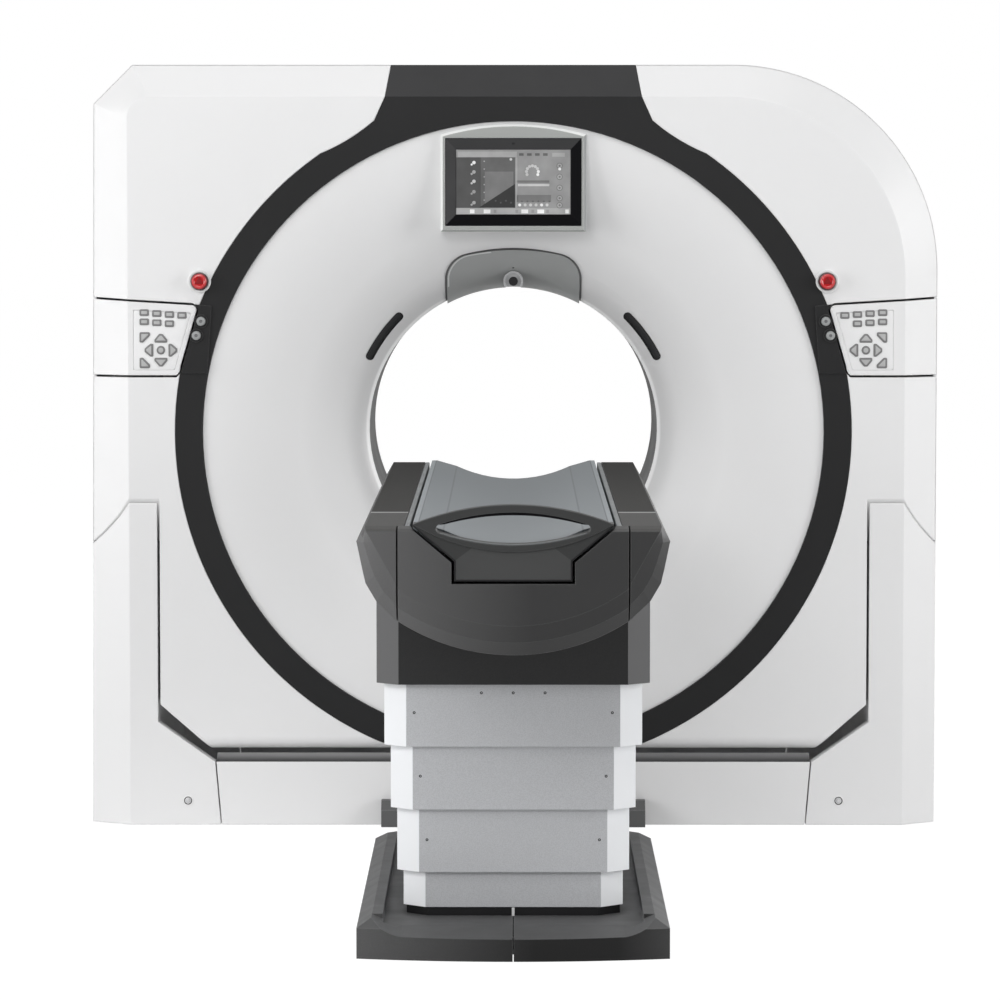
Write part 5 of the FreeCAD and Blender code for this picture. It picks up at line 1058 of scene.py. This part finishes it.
# CAD nodes with a second finish, most of them painted shade, shadow or highlights: node, paint,
# and which faces by their centre and normal.
PAINTED = [
    # Painted shadow: the plinth under the lowest cover is painted near black.
    ("pedestal_cover_4", "ink", lambda at, normal: at.z < PLINTH_TOP),
    # Painted shade on the sill's rise under the tilting body.
    ("stand_panel_front", "sill_shade", lambda at, normal: at.z > SILL_LOW and normal.z > 0.05),
    ("camera_lens", "ink",
     lambda at, normal: math.hypot(at.x, at.z - LENS_HEIGHT) < LENS_GLASS),
    # Painted highlight on the frame's left and top edge faces, painted shade on its right ones.
    ("monitor_frame", "housing_highlight", lambda at, normal: normal.x < -0.4 or normal.z > 0.4),
    ("monitor_frame", "housing_shade", lambda at, normal: normal.x > 0.4),
    # Painted shade on the bezel's right and lower slopes.
    ("monitor_bezel", "dull_black", lambda at, normal: normal.x > 0.2 or normal.z < -0.2),
    # Painted highlight on the upward chamfers of the ring trim's top.
    ("ring_trim", "saddle_chamfer_highlight",
     lambda at, normal: 0.2 < normal.z < 0.95 and at.z > SADDLE_FOOT),
    # Painted shadow on the downward faces above the handle's middle.
    ("cradle_handle", "ink", lambda at, normal: normal.z < -0.4 and at.z > HANDLE_MIDDLE),
    ("cradle_handle", "tongue", lambda at, normal: normal.y < -0.8 and at.z < HANDLE_LOW),
]
# The table's end faces get painted light and shade from side to side.
for node in ("table_end_cover", "table_side_cover_left", "table_side_cover_right"):
    PAINTED.append((node, "table_end",
                    lambda at, normal: normal.y < -0.3 and at.y < TABLE_NEAR + TABLE_END))
for label in ("left", "right"):
    # The base covers' front faces get painted light and shade from side to side.
    PAINTED.append(("base_cover_" + label, "base_front", lambda at, normal: normal.y < -0.8))
    # The tops of the side covers get painted shade and painted highlights.
    PAINTED.append(("table_side_cover_" + label, "table_roof",
                    lambda at, normal: normal.z > 0.9))


def add_details():
    for node, paint, chosen in PAINTED:
        paint_faces(node, PAINT[paint], chosen)
    make_display()
    make_bezel_eye()
    make_panel_seam()
    make_controls()
    make_screws()
    make_cover_locks()
    make_plinth_joint()
    make_rails()
    make_tongue_shadow()
    make_grip_liner()


add_details()


# ---------------------------------------------------------------- stage, light and camera

# The floor's own light is seen only by the camera and in reflections, so shadows stay on it.
FLOOR_HALF, FLOOR_COLOUR = 60.0, (0.86, 0.86, 0.86, 1)
FLOOR_SHARE, FLOOR_GLOW = 0.88, 1.10
WORLD_LEVEL = 0.30

# Soft boxes: name, place, what it points at, width and height, and watts.
LAMPS = (
    ("left_box", (-5.5, -1.9, 2.0), (0, 0.6, 0.9), (2.5, 3.5), 138),
    ("right_box", (5.5, -1.9, 2.0), (0, 0.6, 0.9), (2.5, 3.5), 136),
    ("top_box", (0, -1.5, 5.5), (0, 0.6, 0.8), (4.0, 3.0), 66),
    ("rear_box", (5.0, 6.5, 1.8), (0, 1.2, 0.9), (3.0, 2.5), 90),
    ("front_box", (-2.5, -7.5, 4.2), (0, 0.7, 1.0), (3.5, 2.5), 148),
)

# The camera's place, its lens and sensor in millimetres, and its turn from straight along Y:
# degrees downwards and to the left.
CAMERA_PLACE, CAMERA_LENS, SENSOR_WIDTH = (0.0, -9.605, 1.505), 156.24, 36.0
CAMERA_DOWN, CAMERA_LEFT = 3.98, 0.1756


def make_floor():
    mesh = bpy.data.meshes.new("floor")
    corners = [(x * FLOOR_HALF, y * FLOOR_HALF, 0)
               for x, y in ((-1, -1), (1, -1), (1, 1), (-1, 1))]
    mesh.from_pydata(corners, [], [(0, 1, 2, 3)])
    floor = bpy.data.objects.new("floor", mesh)
    bpy.context.scene.collection.objects.link(floor)
    material = bpy.data.materials.new("floor")
    material.use_nodes = True
    tree = material.node_tree
    tree.nodes.clear()
    output = tree.nodes.new("ShaderNodeOutputMaterial")
    blend = tree.nodes.new("ShaderNodeMixShader")
    diffuse = tree.nodes.new("ShaderNodeBsdfDiffuse")
    diffuse.inputs["Color"].default_value = FLOOR_COLOUR
    glow = tree.nodes.new("ShaderNodeEmission")
    glow.inputs["Strength"].default_value = FLOOR_GLOW
    tree.links.new(seen_rays(tree, FLOOR_SHARE), blend.inputs["Fac"])
    tree.links.new(diffuse.outputs[0], blend.inputs[1])
    tree.links.new(glow.outputs[0], blend.inputs[2])
    tree.links.new(blend.outputs[0], output.inputs["Surface"])
    mesh.materials.append(material)


def seen_rays(tree, share):
    """A socket that is share for camera, glossy and transmission rays, and 0 for the rest."""
    path = tree.nodes.new("ShaderNodeLightPath")
    total = path.outputs["Is Camera Ray"]
    for name in ("Is Glossy Ray", "Is Transmission Ray"):
        add = tree.nodes.new("ShaderNodeMath")
        add.operation = "MAXIMUM"
        tree.links.new(total, add.inputs[0])
        tree.links.new(path.outputs[name], add.inputs[1])
        total = add.outputs[0]
    scale = tree.nodes.new("ShaderNodeMath")
    scale.operation = "MULTIPLY"
    scale.inputs[1].default_value = share
    tree.links.new(total, scale.inputs[0])
    return scale.outputs[0]


def make_world(level):
    world = bpy.data.worlds.new("studio")
    bpy.context.scene.world = world
    world.use_nodes = True
    tree = world.node_tree
    background = tree.nodes["Background"]
    background.inputs["Color"].default_value = (1, 1, 1, 1)
    base = tree.nodes.new("ShaderNodeMath")
    base.operation = "ADD"
    base.inputs[1].default_value = level
    tree.links.new(seen_rays(tree, 1.0 - level), base.inputs[0])
    tree.links.new(base.outputs[0], background.inputs["Strength"])


def area_light(name, place, aim, size, power):
    data = bpy.data.lights.new(name, "AREA")
    data.shape = "RECTANGLE"
    data.size, data.size_y = size
    data.energy = power
    lamp = bpy.data.objects.new(name, data)
    lamp.location = place
    lamp.rotation_euler = (Vector(aim) - Vector(place)).to_track_quat("-Z", "Y").to_euler()
    bpy.context.scene.collection.objects.link(lamp)
    lamp.visible_camera = False


def make_camera():
    data = bpy.data.cameras.new("camera")
    data.lens = CAMERA_LENS
    data.sensor_width = SENSOR_WIDTH
    data.clip_end = 200.0
    camera = bpy.data.objects.new("camera", data)
    camera.location = CAMERA_PLACE
    camera.rotation_euler = (math.radians(90.0 - CAMERA_DOWN), 0.0, math.radians(CAMERA_LEFT))
    bpy.context.scene.collection.objects.link(camera)
    bpy.context.scene.camera = camera


make_floor()
make_world(WORLD_LEVEL)
for lamp in LAMPS:
    area_light(*lamp)
make_camera()
bpy.context.scene.view_settings.view_transform = "Standard"
